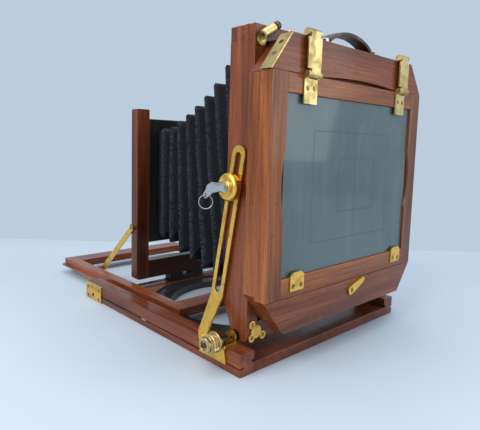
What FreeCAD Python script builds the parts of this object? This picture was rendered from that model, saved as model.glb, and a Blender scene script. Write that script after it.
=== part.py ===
import FreeCAD, Part
import math
import os
import re
from types import SimpleNamespace

import Sketcher

# Wooden field view camera with a sliding front extension, a tilting rear body and a reversing back.
# Frame: +Z up, the lens looks along -Y, the ground glass faces +Y, and the operator's left is +X.
# Origin: centre of the tripod turntable at the underside of the bed. Units: millimetres.

Vec = FreeCAD.Vector
LEFT, RIGHT = 1, -1
SIDES = ((LEFT, "left"), (RIGHT, "right"))

DIMENSIONS = {
    # bed: a floor board between two grooved side rails
    "bed_width": 264.0,
    "rail_width": 18.0,
    "rail_depth": 21.3,
    "rail_front": -157.0,
    "bed_rear": 139.0,
    "board_front": -126.0,
    "floor_depth": 10.4,
    "undercut_depth": 2.8,
    "undercut_rise": 3.0,
    "kerf_bottom": 7.1,
    "kerf_rise": 1.6,
    "kerf_depth": 5.0,
    "kerf_stop_start": -23.0,
    "kerf_stop_length": 8.6,
    # brass plates on the rails' front ends
    "rail_plate_length": 40.0,
    "rail_plate_rise": 20.3,
    "rail_plate_thickness": 1.5,
    "lock_hole_radius": 2.6,
    # turntable
    "turntable_flange_radius": 111.0,
    "turntable_barrel_radius": 105.0,
    "turntable_bore_radius": 88.0,
    "turntable_step": 4.2,
    "turntable_depth": 8.2,
    "turntable_play": 0.3,
    "turntable_hole_radius": 2.5,
    "turntable_hole_circle": 97.0,
    "clip_length": 14.0,
    "clip_width": 11.0,
    "clip_thickness": 1.5,
    # sliding extension frame
    "extension_front": -290.0,
    "extension_rear": 11.0,
    "extension_inner": 90.0,
    "extension_rail_width": 14.5,
    "extension_depth": 10.6,
    "extension_tongue": 11.8,
    "extension_tongue_depth": 2.3,
    "front_tongue": 4.5,
    "wide_tongue_front": -166.0,
    "front_rail_width": 29.0,
    "cross_rail_width": 25.0,
    "slide_play": 0.3,
    # front standard
    "standard_front": -126.0,
    "standard_depth": 14.0,
    "post_outer": 84.0,
    "post_width": 18.0,
    "post_foot": 22.5,
    "post_top": 248.0,
    "post_corner": 4.0,
    "sill_rise": 24.3,
    "foot_block_width": 58.0,
    "foot_block_bottom": 10.9,
    "foot_slot_width": 16.0,
    "foot_slot_rise": 4.0,
    "spindle_radius": 1.6,
    "spindle_height": 13.5,
    "panel_groove_depth": 3.5,
    "panel_groove_width": 6.6,
    "panel_groove_setback": 1.2,
    "lens_axis_height": 152.0,
    # panels in the front standard
    "bellows_board_thickness": 5.5,
    "bellows_board_bottom": 72.0,
    "bellows_board_top": 236.0,
    "bellows_board_opening": 104.0,
    "lens_panel_thickness": 6.0,
    "lens_panel_height": 156.0,
    "lens_panel_play": 0.3,
    # lens
    "lens_panel_hole": 26.5,
    "flange_radius": 39.0,
    "flange_thickness": 4.0,
    "barrel_radius": 25.4,
    "barrel_bore": 22.0,
    "hood_radius": 31.0,
    "lens_bulge": 3.0,
    "lens_edge": 4.0,
    "iris_radius": 29.5,
    "iris_width": 9.0,
    # front struts
    "strut_width": 8.0,
    "strut_thickness": 1.6,
    "strut_top_y": -120.5,
    "strut_top_z": 94.0,
    "strut_pin_y": -207.0,
    "strut_pin_z": 16.0,
    "strut_pin_radius": 2.0,
    # bellows
    "first_ridge_y": -94.0,
    "ridge_pitch": 22.0,
    "fold_depth": 9.0,
    "bellows_wall": 1.0,
    "bellows_lean": 170.0,
    "bellows_front_x": 58.0,
    "bellows_rear_x": 93.0,
    # rear body
    "body_width": 226.0,
    "body_front": 95.0,
    "body_depth": 31.5,
    "body_bottom": 23.5,
    "body_top": 312.0,
    "body_wall": 14.0,
    "body_sill": 18.0,
    "foot_setback": 12.5,
    "rear_board_thickness": 5.0,
    "rear_board_opening_x": 180.0,
    "rear_board_margin": 8.0,
    # side brackets, pivots and stays
    "pivot_y": 112.0,
    "pivot_z": 27.0,
    "pivot_radius": 2.5,
    "running_play": 0.05,
    "bracket_thickness": 1.6,
    "bracket_front": 84.0,
    "bracket_rear": 122.0,
    "bracket_ear_x": 117.6,
    "bracket_lobe": 6.5,
    "stay_pin_y": 92.0,
    "stay_pin_z": 24.5,
    "stay_pin_radius": 2.0,
    "stay_thickness": 1.6,
    "stay_half_width": 8.4,
    "stay_slot_half_width": 3.9,
    "stay_plane_x": 115.2,
    "stay_foot_x": 135.0,
    "stay_bend_z": 60.0,
    "stay_lean": 0.187,
    "stay_slot_bottom_z": 64.0,
    "stay_slot_top_z": 200.0,
    "stud_y": 107.8,
    "stud_z": 168.0,
    "stud_radius": 2.5,
    "knob_radius": 12.0,
    "knob_thickness": 10.5,
    "lower_knob_radius": 9.2,
    "lower_knob_thickness": 14.5,
    # leather carrying handle
    "handle_width": 16.0,
    "handle_thickness": 4.5,
    "handle_left": 57.0,
    "handle_right": -107.0,
    "handle_hump_left": -3.0,
    "handle_hump_right": -87.0,
    "handle_hump_rise": 15.0,
    # reversing back
    "back_front": 127.0,
    "back_frame_depth": 19.8,
    "back_frame_half": 119.0,
    "back_stile_width": 26.0,
    "back_plate_front": 147.0,
    "back_plate_depth": 13.5,
    "back_half": 125.6,
    "back_clip_x": 24.2,
    "back_top": 300.8,
    "back_bottom": 40.0,
    "glass_frame_top": 268.3,
    "glass_frame_bottom": 72.0,
    "frame_gap": 0.4,
    "pull_gap": 3.5,
    # ground glass frame
    "glass_opening_x": 212.4,
    "glass_opening_top": 251.5,
    "glass_opening_bottom": 90.0,
    "glass_lip": 4.0,
    "glass_seat": 156.0,
    "glass_thickness": 2.2,
    "glass_play": 0.3,
    "notch_depth": 4.0,
    "notch_half_height": 33.0,
    # double hinges that carry the ground glass frame
    "hinge_x": 78.0,
    "hinge_strap_width": 18.0,
    "hinge_leaf_width": 22.0,
    "hinge_thickness": 1.5,
    "hinge_barrel_radius": 3.1,
    "hinge_pin_radius": 1.2,
    "top_hinge_y": 162.2,
    "top_hinge_z": 304.2,
    "lower_hinge_y": 164.0,
    "lower_hinge_z": 268.6,
    # small brass fittings
    "screw_head_radius": 2.4,
    "screw_head_thickness": 1.4,
    "screw_shank_radius": 1.1,
    "screw_shank_length": 6.0,
    "screw_slot_width": 0.7,
    "button_x": -3.0,
    "button_z": 60.7,
    "button_arm": 24.0,
    "button_thickness": 2.0,
    "keeper_thickness": 1.5,
    "keeper_width": 13.0,
    "corner_plate_thickness": 1.2,
    "catch_radius": 4.4,
    "catch_length": 15.0,
    "bolt_radius": 2.2,
    "tab_thickness": 1.2,
    "ring_radius": 6.6,
    "ring_wire": 0.6,
}

# ---------------------------------------------------------------------------------------------
# document, driving dimensions and modelling helpers
# ---------------------------------------------------------------------------------------------

doc = FreeCAD.newDocument("view_camera")
sheet = doc.addObject("Spreadsheet::Sheet", "Dimensions")
for row, (alias, value) in enumerate(DIMENSIONS.items(), start=1):
    sheet.set(f"A{row}", alias)
    sheet.set(f"B{row}", str(value))
    sheet.setAlias(f"B{row}", alias)
doc.recompute()

d = SimpleNamespace(**{alias: float(sheet.get(alias)) for alias in DIMENSIONS})
subparts = []


def cell(expression):
    """The expression with each alias written as a reference to the spreadsheet."""
    return re.sub(r"[a-z][a-z_]+", lambda found: f"Dimensions.{found.group(0)}", expression)


def keep(obj, label):
    """Give a finished object the name of its sub-part."""
    obj.Label = label
    subparts.append(obj)
    return obj


def block(name, corner, length, width, height):
    """A box with its lowest corner at corner. The three sizes are spreadsheet expressions."""
    box = doc.addObject("Part::Box", name)
    box.setExpression("Length", cell(length))
    box.setExpression("Width", cell(width))
    box.setExpression("Height", cell(height))
    box.Placement.Base = Vec(*corner)
    return box


def rod(name, start, axis, radius, height):
    """A cylinder from start along axis. Radius and height are spreadsheet expressions."""
    cylinder = doc.addObject("Part::Cylinder", name)
    cylinder.setExpression("Radius", cell(radius))
    cylinder.setExpression("Height", cell(height))
    cylinder.Placement = FreeCAD.Placement(Vec(*start), FreeCAD.Rotation(Vec(0, 0, 1), Vec(*axis)))
    return cylinder


def fused(name, pieces):
    union = doc.addObject("Part::MultiFuse", name)
    union.Shapes = pieces
    return union


def drilled(name, base, tools):
    """base with the tools cut away."""
    result = doc.addObject("Part::Cut", name)
    result.Base = base
    result.Tool = tools[0] if len(tools) == 1 else fused(f"{name}_tools", tools)
    return result


def grouped(name, pieces):
    """Identical pieces that stay separate solids in one node."""
    compound = doc.addObject("Part::Compound", name)
    compound.Links = pieces
    return compound


def corner_arc(before, corner, after, radius):
    """The rounding arc at a corner: its two tangent points and the geometry."""
    to_before = (before - corner).normalize()
    to_after = (after - corner).normalize()
    half_angle = to_before.getAngle(to_after) / 2
    reach = radius / math.tan(half_angle)
    bisector = (to_before + to_after).normalize()
    start = corner + to_before * reach
    end = corner + to_after * reach
    middle = corner + bisector * (radius / math.sin(half_angle) - radius)
    return start, end, Part.Arc(start, middle, end)


def outline_geometry(points):
    """Closed outline of lines, with an arc where a point is (u, v, radius)."""
    corners = [Vec(point[0], point[1], 0) for point in points]
    count = len(points)
    starts, ends, arcs = [], [], []
    for index, point in enumerate(points):
        radius = point[2] if len(point) > 2 else 0
        if radius:
            start, end, arc = corner_arc(
                corners[index - 1], corners[index], corners[(index + 1) % count], radius
            )
        else:
            start, end, arc = corners[index], corners[index], None
        starts.append(start)
        ends.append(end)
        arcs.append(arc)
    geometry = []
    for index in range(count):
        if arcs[index]:
            geometry.append(arcs[index])
        following = starts[(index + 1) % count]
        if ends[index].distanceToPoint(following) > 1e-6:
            geometry.append(Part.LineSegment(ends[index], following))
    return geometry


def sketch_on(body, plane, name, geometry, circles=()):
    """A sketch on one of the body's origin planes. Each circle is (u, v, radius expression)."""
    sketch = body.newObject("Sketcher::SketchObject", name)
    support = [feature for feature in body.Origin.OriginFeatures if feature.Role == plane][0]
    sketch.AttachmentSupport = [(support, "")]
    sketch.MapMode = "FlatFace"
    if geometry:
        sketch.addGeometry(geometry, False)
    for number, (u, v, radius) in enumerate(circles, start=1):
        circle = sketch.addGeometry(Part.Circle(Vec(u, v, 0), Vec(0, 0, 1), 1.0), False)
        index = sketch.addConstraint(Sketcher.Constraint("Radius", circle, 1.0))
        sketch.renameConstraint(index, f"hole_{number}")
        sketch.setExpression(f"Constraints.hole_{number}", cell(radius))
    return sketch


def plate(name, plane, offset, points, thickness, circles=()):
    """A padded outline. XY pads towards +Z, YZ towards +X and XZ towards -Y from offset."""
    body = doc.addObject("PartDesign::Body", name)
    sketch = sketch_on(body, plane, f"{name}_outline", outline_geometry(points), circles)
    pad = body.newObject("PartDesign::Pad", f"{name}_pad")
    pad.Profile = sketch
    pad.setExpression("Length", cell(thickness))
    body.Placement.Base = Vec(*offset)
    return body


def turned(name, base, axis, profile):
    """A body turned about axis through base. The profile is (radius, along) points."""
    body = doc.addObject("PartDesign::Body", name)
    sketch = sketch_on(body, "XZ_Plane", f"{name}_profile", outline_geometry(profile))
    revolution = body.newObject("PartDesign::Revolution", f"{name}_turning")
    revolution.Profile = sketch
    revolution.ReferenceAxis = (sketch, ["V_Axis"])
    revolution.Angle = 360
    body.Placement = FreeCAD.Placement(Vec(*base), FreeCAD.Rotation(Vec(0, 0, 1), Vec(*axis)))
    return body


def shaped(name, shape):
    """A feature whose shape needs a bend or a fold that no primitive gives."""
    feature = doc.addObject("Part::Feature", name)
    feature.Shape = shape
    return feature


def screw(name, head, axis, slot_axis):
    """A slotted wood screw. head is the centre of its outer face and axis points outwards."""
    outwards = Vec(*axis)
    along_slot = Vec(*slot_axis).normalize()
    back = Vec(*head) - outwards * d.screw_head_thickness
    cap = rod(f"{name}_head", back, axis, "screw_head_radius", "screw_head_thickness")
    tip = back - outwards * d.screw_shank_length
    shank = rod(f"{name}_shank", tip, axis, "screw_shank_radius", "screw_shank_length + 0.1")
    body = fused(f"{name}_blank", [cap, shank])
    slot = block(
        f"{name}_slot", (0, 0, 0), "2 * screw_head_radius + 1", "screw_slot_width",
        "screw_head_thickness / 2",
    )
    across = outwards.cross(along_slot)
    rotation = FreeCAD.Rotation(along_slot, across, outwards, "ZXY")
    centre = Vec(-(d.screw_head_radius + 0.5), -d.screw_slot_width / 2, -d.screw_head_thickness / 2)
    slot.Placement = FreeCAD.Placement(Vec(*head) + rotation.multVec(centre), rotation)
    return drilled(name, body, [slot])


def screws(label, heads, axis, slot_axis):
    """One node of identical screws at the given head centres."""
    pieces = [
        screw(f"{label}_{number}", head, axis, slot_axis)
        for number, head in enumerate(heads, start=1)
    ]
    return keep(grouped(label, pieces), label)


def screw_seats(name, heads, axis):
    """Cylinders that clear the heads of screws in a plate."""
    seats = []
    for number, head in enumerate(heads, start=1):
        start = Vec(*head) - Vec(*axis) * (d.screw_head_thickness + 1)
        seats.append(
            rod(f"{name}_seat_{number}", start, axis, "screw_head_radius", "screw_head_thickness + 3")
        )
    return seats


def mirrored(points, side):
    """Outline points for the given side: the left one as written, the right one mirrored in u."""
    return [(side * point[0],) + tuple(point[1:]) for point in points]


# ---------------------------------------------------------------------------------------------
# bed
# ---------------------------------------------------------------------------------------------

half_bed = d.bed_width / 2
rail_inner = half_bed - d.rail_width


def make_bed_board():
    """Floor board with the stepped round hole that holds the turntable."""
    points = [
        (-rail_inner, d.board_front),
        (rail_inner, d.board_front),
        (rail_inner, d.bed_rear),
        (-rail_inner, d.bed_rear),
    ]
    hole = (0, 0, "turntable_barrel_radius + turntable_play")
    body = plate("bed_board", "XY_Plane", (0, 0, 0), points, "floor_depth", [hole])
    step = sketch_on(
        body, "XY_Plane", "turntable_step", [], [(0, 0, "turntable_flange_radius + turntable_play")]
    )
    step.AttachmentOffset.Base = Vec(0, 0, d.turntable_step - d.turntable_play)
    counterbore = body.newObject("PartDesign::Pocket", "turntable_counterbore")
    counterbore.Profile = step
    counterbore.setExpression("Length", cell("floor_depth"))
    counterbore.Reversed = True
    seat = sketch_on(body, "XY_Plane", "clip_seat", outline_geometry(clip_outline(0.2)))
    seat.AttachmentOffset.Base = Vec(0, 0, d.turntable_depth + d.turntable_play)
    recess = body.newObject("PartDesign::Pocket", "clip_recess")
    recess.Profile = seat
    recess.setExpression("Length", cell("floor_depth"))
    recess.Reversed = True
    ring_of_seats = body.newObject("PartDesign::PolarPattern", "clip_recesses")
    ring_of_seats.Originals = [recess]
    ring_of_seats.Axis = (step, ["N_Axis"])
    ring_of_seats.Angle = 360
    ring_of_seats.Occurrences = 4
    body.Tip = ring_of_seats
    keep(body, "bed_board")


def clip_outline(growth):
    """Outline of one turntable clip on the diagonal, grown all round for its seat."""
    half = d.clip_width / 2 + growth
    inner = d.turntable_barrel_radius + 2 - growth
    outer = inner + d.clip_length + 2 * growth
    turn = FreeCAD.Rotation(Vec(0, 0, 1), 45)
    corners = ((inner, -half), (outer, -half), (outer, half), (inner, half))
    turned_corners = [turn.multVec(Vec(u, v, 0)) for u, v in corners]
    return [(corner.x, corner.y) for corner in turned_corners]


def make_bed_rails():
    """Side rails: an undercut at the foot of the inner wall and a kerf in the outer wall."""
    undercut_top = d.floor_depth + d.undercut_rise
    kerf_top = d.kerf_bottom + d.kerf_rise
    profile = [
        (rail_inner, 0),
        (half_bed, 0, 1.0),
        (half_bed, d.kerf_bottom),
        (half_bed - d.kerf_depth, d.kerf_bottom),
        (half_bed - d.kerf_depth, kerf_top),
        (half_bed, kerf_top),
        (half_bed, d.rail_depth, 1.0),
        (rail_inner, d.rail_depth, 0.8),
        (rail_inner, undercut_top),
        (rail_inner + d.undercut_depth, undercut_top),
        (rail_inner + d.undercut_depth, d.floor_depth),
        (rail_inner, d.floor_depth),
    ]
    rails = [
        plate(f"bed_rail_{name}", "XZ_Plane", (0, d.bed_rear, 0), mirrored(profile, side),
              "bed_rear - rail_front")
        for side, name in SIDES
    ]
    keep(grouped("bed_rails", rails), "bed_rails")


def make_kerf_stops():
    """Small plugs that stop the side brackets' travel in the kerfs."""
    plugs = []
    for side, name in SIDES:
        inner = half_bed - d.kerf_depth if side == LEFT else -half_bed
        corner = (inner, d.kerf_stop_start, d.kerf_bottom)
        plugs.append(
            block(f"kerf_plug_{name}", corner, "kerf_depth", "kerf_stop_length", "kerf_rise")
        )
    keep(grouped("kerf_stops", plugs), "kerf_stops")


def make_rail_plates():
    """Brass plates on the rails' front ends: four screws and a lock hole each. Returns the screws."""
    front = d.rail_front + 0.5
    rear = front + d.rail_plate_length
    bottom = 0.6
    lock_y = (front + rear) / 2 - 1.0
    points = [
        (front, bottom, 1.0),
        (rear, bottom, 1.0),
        (rear, bottom + d.rail_plate_rise, 1.0),
        (front, bottom + d.rail_plate_rise, 1.0),
    ]
    spots = [(y, z) for y in (front + 5.5, rear - 6.0) for z in (3.6, 15.0)]
    circles = [(y, z, "screw_head_radius") for y, z in spots]
    circles.append((lock_y, d.kerf_bottom - 0.6, "lock_hole_radius"))
    plates, fixings = [], []
    for side, name in SIDES:
        outer = side * (half_bed + d.rail_plate_thickness)
        offset = (half_bed if side == LEFT else outer, 0, 0)
        label = f"rail_plate_{name}"
        plates.append(plate(label, "YZ_Plane", offset, points, "rail_plate_thickness", circles))
        for number, (y, z) in enumerate(spots, start=1):
            fixings.append(screw(f"{label}_screw_{number}", (outer, y, z), (side, 0, 0), (0, 1, 1)))
    keep(grouped("rail_plates", plates), "rail_plates")
    return fixings


def make_turntable():
    """Black metal tripod ring that turns in the board under four clips. Returns the clips' screws."""
    profile = [
        (d.turntable_bore_radius, 0, 0.6),
        (d.turntable_barrel_radius, 0, 0.6),
        (d.turntable_barrel_radius, d.turntable_step),
        (d.turntable_flange_radius, d.turntable_step),
        (d.turntable_flange_radius, d.turntable_depth, 0.8),
        (d.turntable_bore_radius, d.turntable_depth, 0.8),
    ]
    blank = turned("turntable_blank", (0, 0, 0), (0, 0, 1), profile)
    holes = []
    for number in range(3):
        angle = math.radians(90 + 120 * number)
        spot = (
            d.turntable_hole_circle * math.cos(angle),
            d.turntable_hole_circle * math.sin(angle),
            -1,
        )
        holes.append(
            rod(f"tripod_hole_{number}", spot, (0, 0, 1), "turntable_hole_radius", "turntable_depth + 2")
        )
    keep(drilled("turntable_ring", blank, holes), "turntable_ring")

    clips, fixings = [], []
    clip_bottom = d.turntable_depth + d.turntable_play
    for number in range(4):
        turn = FreeCAD.Rotation(Vec(0, 0, 1), 90 * number)
        reach = d.turntable_flange_radius + 5.5
        spot = turn.multVec(Vec(reach, reach, 0) / math.sqrt(2))
        head = (spot.x, spot.y, clip_bottom + d.clip_thickness)
        clip = plate(
            f"clip_{number}", "XY_Plane", (0, 0, clip_bottom), clip_outline(0), "clip_thickness",
            [(reach / math.sqrt(2), reach / math.sqrt(2), "screw_head_radius")],
        )
        clip.Placement.Rotation = turn
        clips.append(clip)
        fixings.append(screw(f"clip_screw_{number}", head, (0, 0, 1), (1, 0, 0)))
    keep(grouped("turntable_clips", clips), "turntable_clips")
    return fixings


# ---------------------------------------------------------------------------------------------
# sliding extension and front standard
# ---------------------------------------------------------------------------------------------

extension_bottom = d.floor_depth + d.slide_play
extension_top = extension_bottom + d.extension_depth
standard_rear = d.standard_front + d.standard_depth
post_inner = d.post_outer - d.post_width


def make_extension():
    """Four-piece frame whose side tongues run in the rails' undercuts."""
    outer = d.extension_inner + d.extension_rail_width
    tongue_top = extension_bottom + d.extension_tongue_depth
    profile = [
        (d.extension_inner, extension_bottom),
        (outer + d.front_tongue, extension_bottom),
        (outer + d.front_tongue, tongue_top),
        (outer, tongue_top),
        (outer, extension_top, 0.8),
        (d.extension_inner, extension_top, 0.8),
    ]
    rails = []
    for side, name in SIDES:
        label = f"extension_rail_{name}"
        bar = plate(f"{label}_bar", "XZ_Plane", (0, d.extension_rear, 0), mirrored(profile, side),
                    "extension_rear - extension_front")
        start_x = outer if side == LEFT else -outer - d.extension_tongue
        tongue = block(
            f"{label}_tongue", (start_x, d.wide_tongue_front, extension_bottom), "extension_tongue",
            "extension_rear - wide_tongue_front", "extension_tongue_depth",
        )
        rails.append(fused(label, [bar, tongue]))
    keep(grouped("extension_rails", rails), "extension_rails")
    corner = (-d.extension_inner, d.extension_front, extension_bottom)
    front = block(
        "extension_front_rail", corner, "2 * extension_inner", "front_rail_width", "extension_depth"
    )
    corner = (-d.extension_inner, d.extension_rear - d.cross_rail_width, extension_bottom)
    rear = block(
        "extension_rear_rail", corner, "2 * extension_inner", "cross_rail_width", "extension_depth"
    )
    keep(grouped("extension_cross_rails", [front, rear]), "extension_cross_rails")


def make_front_standard():
    """Two posts, a sill and a foot block that stands on a cross spindle."""
    posts = []
    for side, name in SIDES:
        label = f"front_post_{name}"
        points = [
            (post_inner, d.post_foot),
            (d.post_outer, d.post_foot, d.post_corner),
            (d.post_outer, d.post_top, 1.5),
            (post_inner, d.post_top, 1.5),
        ]
        body = plate(
            f"{label}_blank", "XZ_Plane", (0, standard_rear, 0), mirrored(points, side),
            "standard_depth",
        )
        groove_x = post_inner if side == LEFT else -post_inner - d.panel_groove_depth
        groove = block(
            f"{label}_groove",
            (groove_x, d.standard_front + d.panel_groove_setback, d.post_foot + d.sill_rise),
            "panel_groove_depth", "panel_groove_width", "post_top",
        )
        screw_hole = rod(
            f"{label}_screw_hole", (side * (d.post_outer + 1), d.strut_top_y, d.strut_top_z),
            (-side, 0, 0), "screw_shank_radius", "1 + screw_shank_length",
        )
        posts.append(drilled(label, body, [groove, screw_hole]))
    keep(grouped("front_posts", posts), "front_posts")

    corner = (-post_inner, d.standard_front, d.post_foot)
    sill = block("front_sill", corner, "2 * (post_outer - post_width)", "standard_depth", "sill_rise")
    keep(sill, "front_sill")

    half = d.foot_block_width / 2
    rise = d.post_foot - d.foot_block_bottom
    corner = (-half, d.standard_front, d.foot_block_bottom)
    foot = block("foot_blank", corner, "foot_block_width", "standard_depth", "post_foot - foot_block_bottom")
    slot_corner = (-d.foot_slot_width / 2, d.standard_front - 1, d.foot_block_bottom + rise * 0.58)
    slot = block(
        "foot_slot", slot_corner, "foot_slot_width", "standard_depth + 2", "foot_slot_rise"
    )
    spindle_y = d.standard_front + d.standard_depth / 2
    bore = rod(
        "spindle_bore", (-half - 1, spindle_y, d.spindle_height), (1, 0, 0), "spindle_radius",
        "foot_block_width + 2",
    )
    keep(drilled("foot_block", foot, [slot, bore]), "foot_block")


def make_extension_pins():
    """Steel spindle through the foot block, and the two pins that the struts hook over."""
    spindle_y = d.standard_front + d.standard_depth / 2
    pins = [
        rod(
            "foot_spindle", (-d.extension_inner, spindle_y, d.spindle_height), (1, 0, 0),
            "spindle_radius", "2 * extension_inner",
        )
    ]
    for side, name in SIDES:
        start = (side * d.extension_inner, d.strut_pin_y, d.strut_pin_z)
        pins.append(
            rod(f"strut_pin_{name}", start, (-side, 0, 0), "strut_pin_radius",
                "extension_inner - post_outer")
        )
    keep(grouped("extension_pins", pins), "extension_pins")


def make_front_panels():
    """Fixed bellows board, and the lens panel that rises and falls in front of it."""
    corner = (-post_inner, standard_rear - d.bellows_board_thickness, d.bellows_board_bottom)
    board = block(
        "bellows_board_blank", corner, "2 * (post_outer - post_width)", "bellows_board_thickness",
        "bellows_board_top - bellows_board_bottom",
    )
    half = d.bellows_board_opening / 2
    opening = block(
        "bellows_board_window",
        (-half, standard_rear - d.bellows_board_thickness - 1, d.lens_axis_height - half),
        "bellows_board_opening", "bellows_board_thickness + 2", "bellows_board_opening",
    )
    keep(drilled("bellows_board", board, [opening]), "bellows_board")

    half_width = post_inner + d.panel_groove_depth - d.lens_panel_play
    half_height = d.lens_panel_height / 2
    low, high = d.lens_axis_height - half_height, d.lens_axis_height + half_height
    points = [(-half_width, low), (half_width, low), (half_width, high), (-half_width, high)]
    rear = d.standard_front + d.panel_groove_setback + d.panel_groove_width - d.lens_panel_play
    panel = plate(
        "lens_panel", "XZ_Plane", (0, rear, 0), points, "lens_panel_thickness",
        [(0, d.lens_axis_height, "lens_panel_hole")],
    )
    keep(panel, "lens_panel")


def lens_element(name, edge_y, outwards):
    """A plano-convex glass that fills the barrel's bore. Its bulge points along outwards times +Y."""
    disc = rod(
        f"{name}_disc", (0, edge_y, d.lens_axis_height), (0, outwards, 0), "barrel_bore",
        "lens_bulge + lens_edge",
    )
    radius = (d.barrel_bore ** 2 + d.lens_bulge ** 2) / (2 * d.lens_bulge)
    ball = doc.addObject("Part::Sphere", f"{name}_ball")
    ball.Radius = radius
    centre_y = edge_y + outwards * (d.lens_edge + d.lens_bulge - radius)
    ball.Placement = FreeCAD.Placement(
        Vec(0, centre_y, d.lens_axis_height), FreeCAD.Rotation(Vec(0, 0, 1), Vec(1, 0, 0))
    )
    element = doc.addObject("Part::Common", name)
    element.Base = disc
    element.Tool = ball
    return element


def make_lens():
    """Brass barrel lens on a flange, with an iris ring and two glass elements."""
    panel_rear = d.standard_front + d.panel_groove_setback + d.panel_groove_width - d.lens_panel_play
    panel_front = panel_rear - d.lens_panel_thickness
    flange_front = panel_front - d.flange_thickness
    flange_profile = [
        (d.barrel_radius, 0),
        (d.flange_radius, 0),
        (d.flange_radius, 1.8, 0.6),
        (d.flange_radius - 7, 2.2),
        (d.flange_radius - 8.5, d.flange_thickness, 0.6),
        (d.barrel_radius, d.flange_thickness),
    ]
    base = (0, panel_front, d.lens_axis_height)
    flange = turned("lens_flange_blank", base, (0, -1, 0), flange_profile)
    heads = []
    for number in range(3):
        angle = math.radians(90 + 120 * number)
        reach = d.flange_radius - 3.6
        heads.append(
            (reach * math.cos(angle), panel_front - 2.0, d.lens_axis_height + reach * math.sin(angle))
        )
    seats = screw_seats("lens_flange", heads, (0, -1, 0))
    keep(drilled("lens_flange", flange, seats), "lens_flange")
    screws("lens_flange_screws", heads, (0, -1, 0), (1, 0, 1))

    iris_rear = flange_front - 3.0
    iris_front = iris_rear - d.iris_width
    neck = d.barrel_radius - 1.4
    barrel_front = iris_front - 44.0
    barrel_rear = panel_front + 22.0

    def along(y):
        return barrel_rear - y

    profile = [
        (d.barrel_bore, along(barrel_rear), 0.5),
        (d.barrel_radius, along(barrel_rear), 0.5),
        (d.barrel_radius, along(iris_rear)),
        (neck, along(iris_rear)),
        (neck, along(iris_front)),
        (d.barrel_radius + 1.6, along(iris_front), 0.5),
        (d.barrel_radius + 1.6, along(iris_front) + 9.0),
        (d.barrel_radius, along(iris_front) + 11.0),
        (d.barrel_radius, along(barrel_front) - 14.0),
        (d.hood_radius, along(barrel_front) - 9.0),
        (d.hood_radius, along(barrel_front), 0.8),
        (d.hood_radius - 2.4, along(barrel_front), 0.8),
        (d.barrel_bore, along(barrel_front) - 12.0),
    ]
    base = (0, barrel_rear, d.lens_axis_height)
    keep(turned("lens_barrel", base, (0, -1, 0), profile), "lens_barrel")

    ring_profile = [
        (neck + d.running_play, 0.1),
        (d.iris_radius, 0.1, 0.8),
        (d.iris_radius, d.iris_width - 0.1, 0.8),
        (neck + d.running_play, d.iris_width - 0.1),
    ]
    ring = turned("iris_ring_blank", (0, iris_rear, d.lens_axis_height), (0, -1, 0), ring_profile)
    pin_start = (0, iris_rear - d.iris_width / 2, d.lens_axis_height + d.iris_radius - 1)
    pin = rod("iris_pin", pin_start, (0, 0, 1), "screw_shank_radius + 0.4", "spindle_radius * 4")
    keep(fused("iris_ring", [ring, pin]), "iris_ring")

    glasses = [
        lens_element("front_glass", barrel_front + 17.0, -1),
        lens_element("rear_glass", barrel_rear - 6.0, 1),
    ]
    keep(grouped("lens_glasses", glasses), "lens_glasses")


def make_front_struts():
    """Brass straps that brace the posts. Each hooks over a pin in the extension's rail."""
    top = Vec(d.strut_top_y, d.strut_top_z, 0)
    foot = Vec(d.strut_pin_y, d.strut_pin_z, 0)
    along = (foot - top).normalize()
    across = Vec(-along.y, along.x, 0)
    half = d.strut_width / 2
    notch = d.strut_pin_radius + 0.5
    end = foot + along * 4.5
    lower_side = -1 if across.y > 0 else 1

    def spot(origin, reach, sideways, radius=0):
        point = origin + along * reach + across * sideways * lower_side
        return (point.x, point.y, radius) if radius else (point.x, point.y)

    points = [
        spot(top, -half, -half, 3.0),
        spot(end, 0, -half, 2.5),
        spot(end, 0, half, 1.5),
        spot(foot, notch, half),
        spot(foot, notch, -notch, notch * 0.5),
        spot(foot, -notch, -notch, notch * 0.5),
        spot(foot, -notch, half),
        spot(top, -half, half, 3.0),
    ]
    inner_gap = 0.3
    pivots = []
    for side, name in SIDES:
        label = f"front_strut_{name}"
        near = d.post_outer + inner_gap
        offset_x = near if side == LEFT else -near - d.strut_thickness
        hole = (top.x, top.y, "strut_pin_radius + running_play")
        keep(plate(label, "YZ_Plane", (offset_x, 0, 0), points, "strut_thickness", [hole]), label)
        outer = (side * (near + d.strut_thickness + inner_gap), top.x, top.y)
        head = rod(f"strut_screw_head_{name}", outer, (side, 0, 0), "strut_width / 2",
                   "screw_head_thickness")
        neck_start = (side * (d.post_outer), top.x, top.y)
        neck = rod(f"strut_screw_neck_{name}", neck_start, (side, 0, 0), "strut_pin_radius",
                   "strut_thickness + 0.7")
        shank_start = (side * (d.post_outer - d.screw_shank_length), top.x, top.y)
        shank = rod(f"strut_screw_shank_{name}", shank_start, (side, 0, 0), "screw_shank_radius",
                    "screw_shank_length + 0.1")
        pivots.append(fused(f"strut_screw_{name}", [head, neck, shank]))
    keep(grouped("strut_screws", pivots), "strut_screws")


# ---------------------------------------------------------------------------------------------
# bellows
# ---------------------------------------------------------------------------------------------

# heights of the ridges' upper and lower edges, from the front standard to the body
RIDGE_TOPS = (224.0, 226.0, 233.0, 240.0, 249.0, 259.0, 270.0, 286.0, 291.0)
RIDGE_BOTTOMS = (79.0, 78.0, 70.0, 65.0, 63.0, 61.0, 58.0, 54.0, 50.0)


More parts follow.
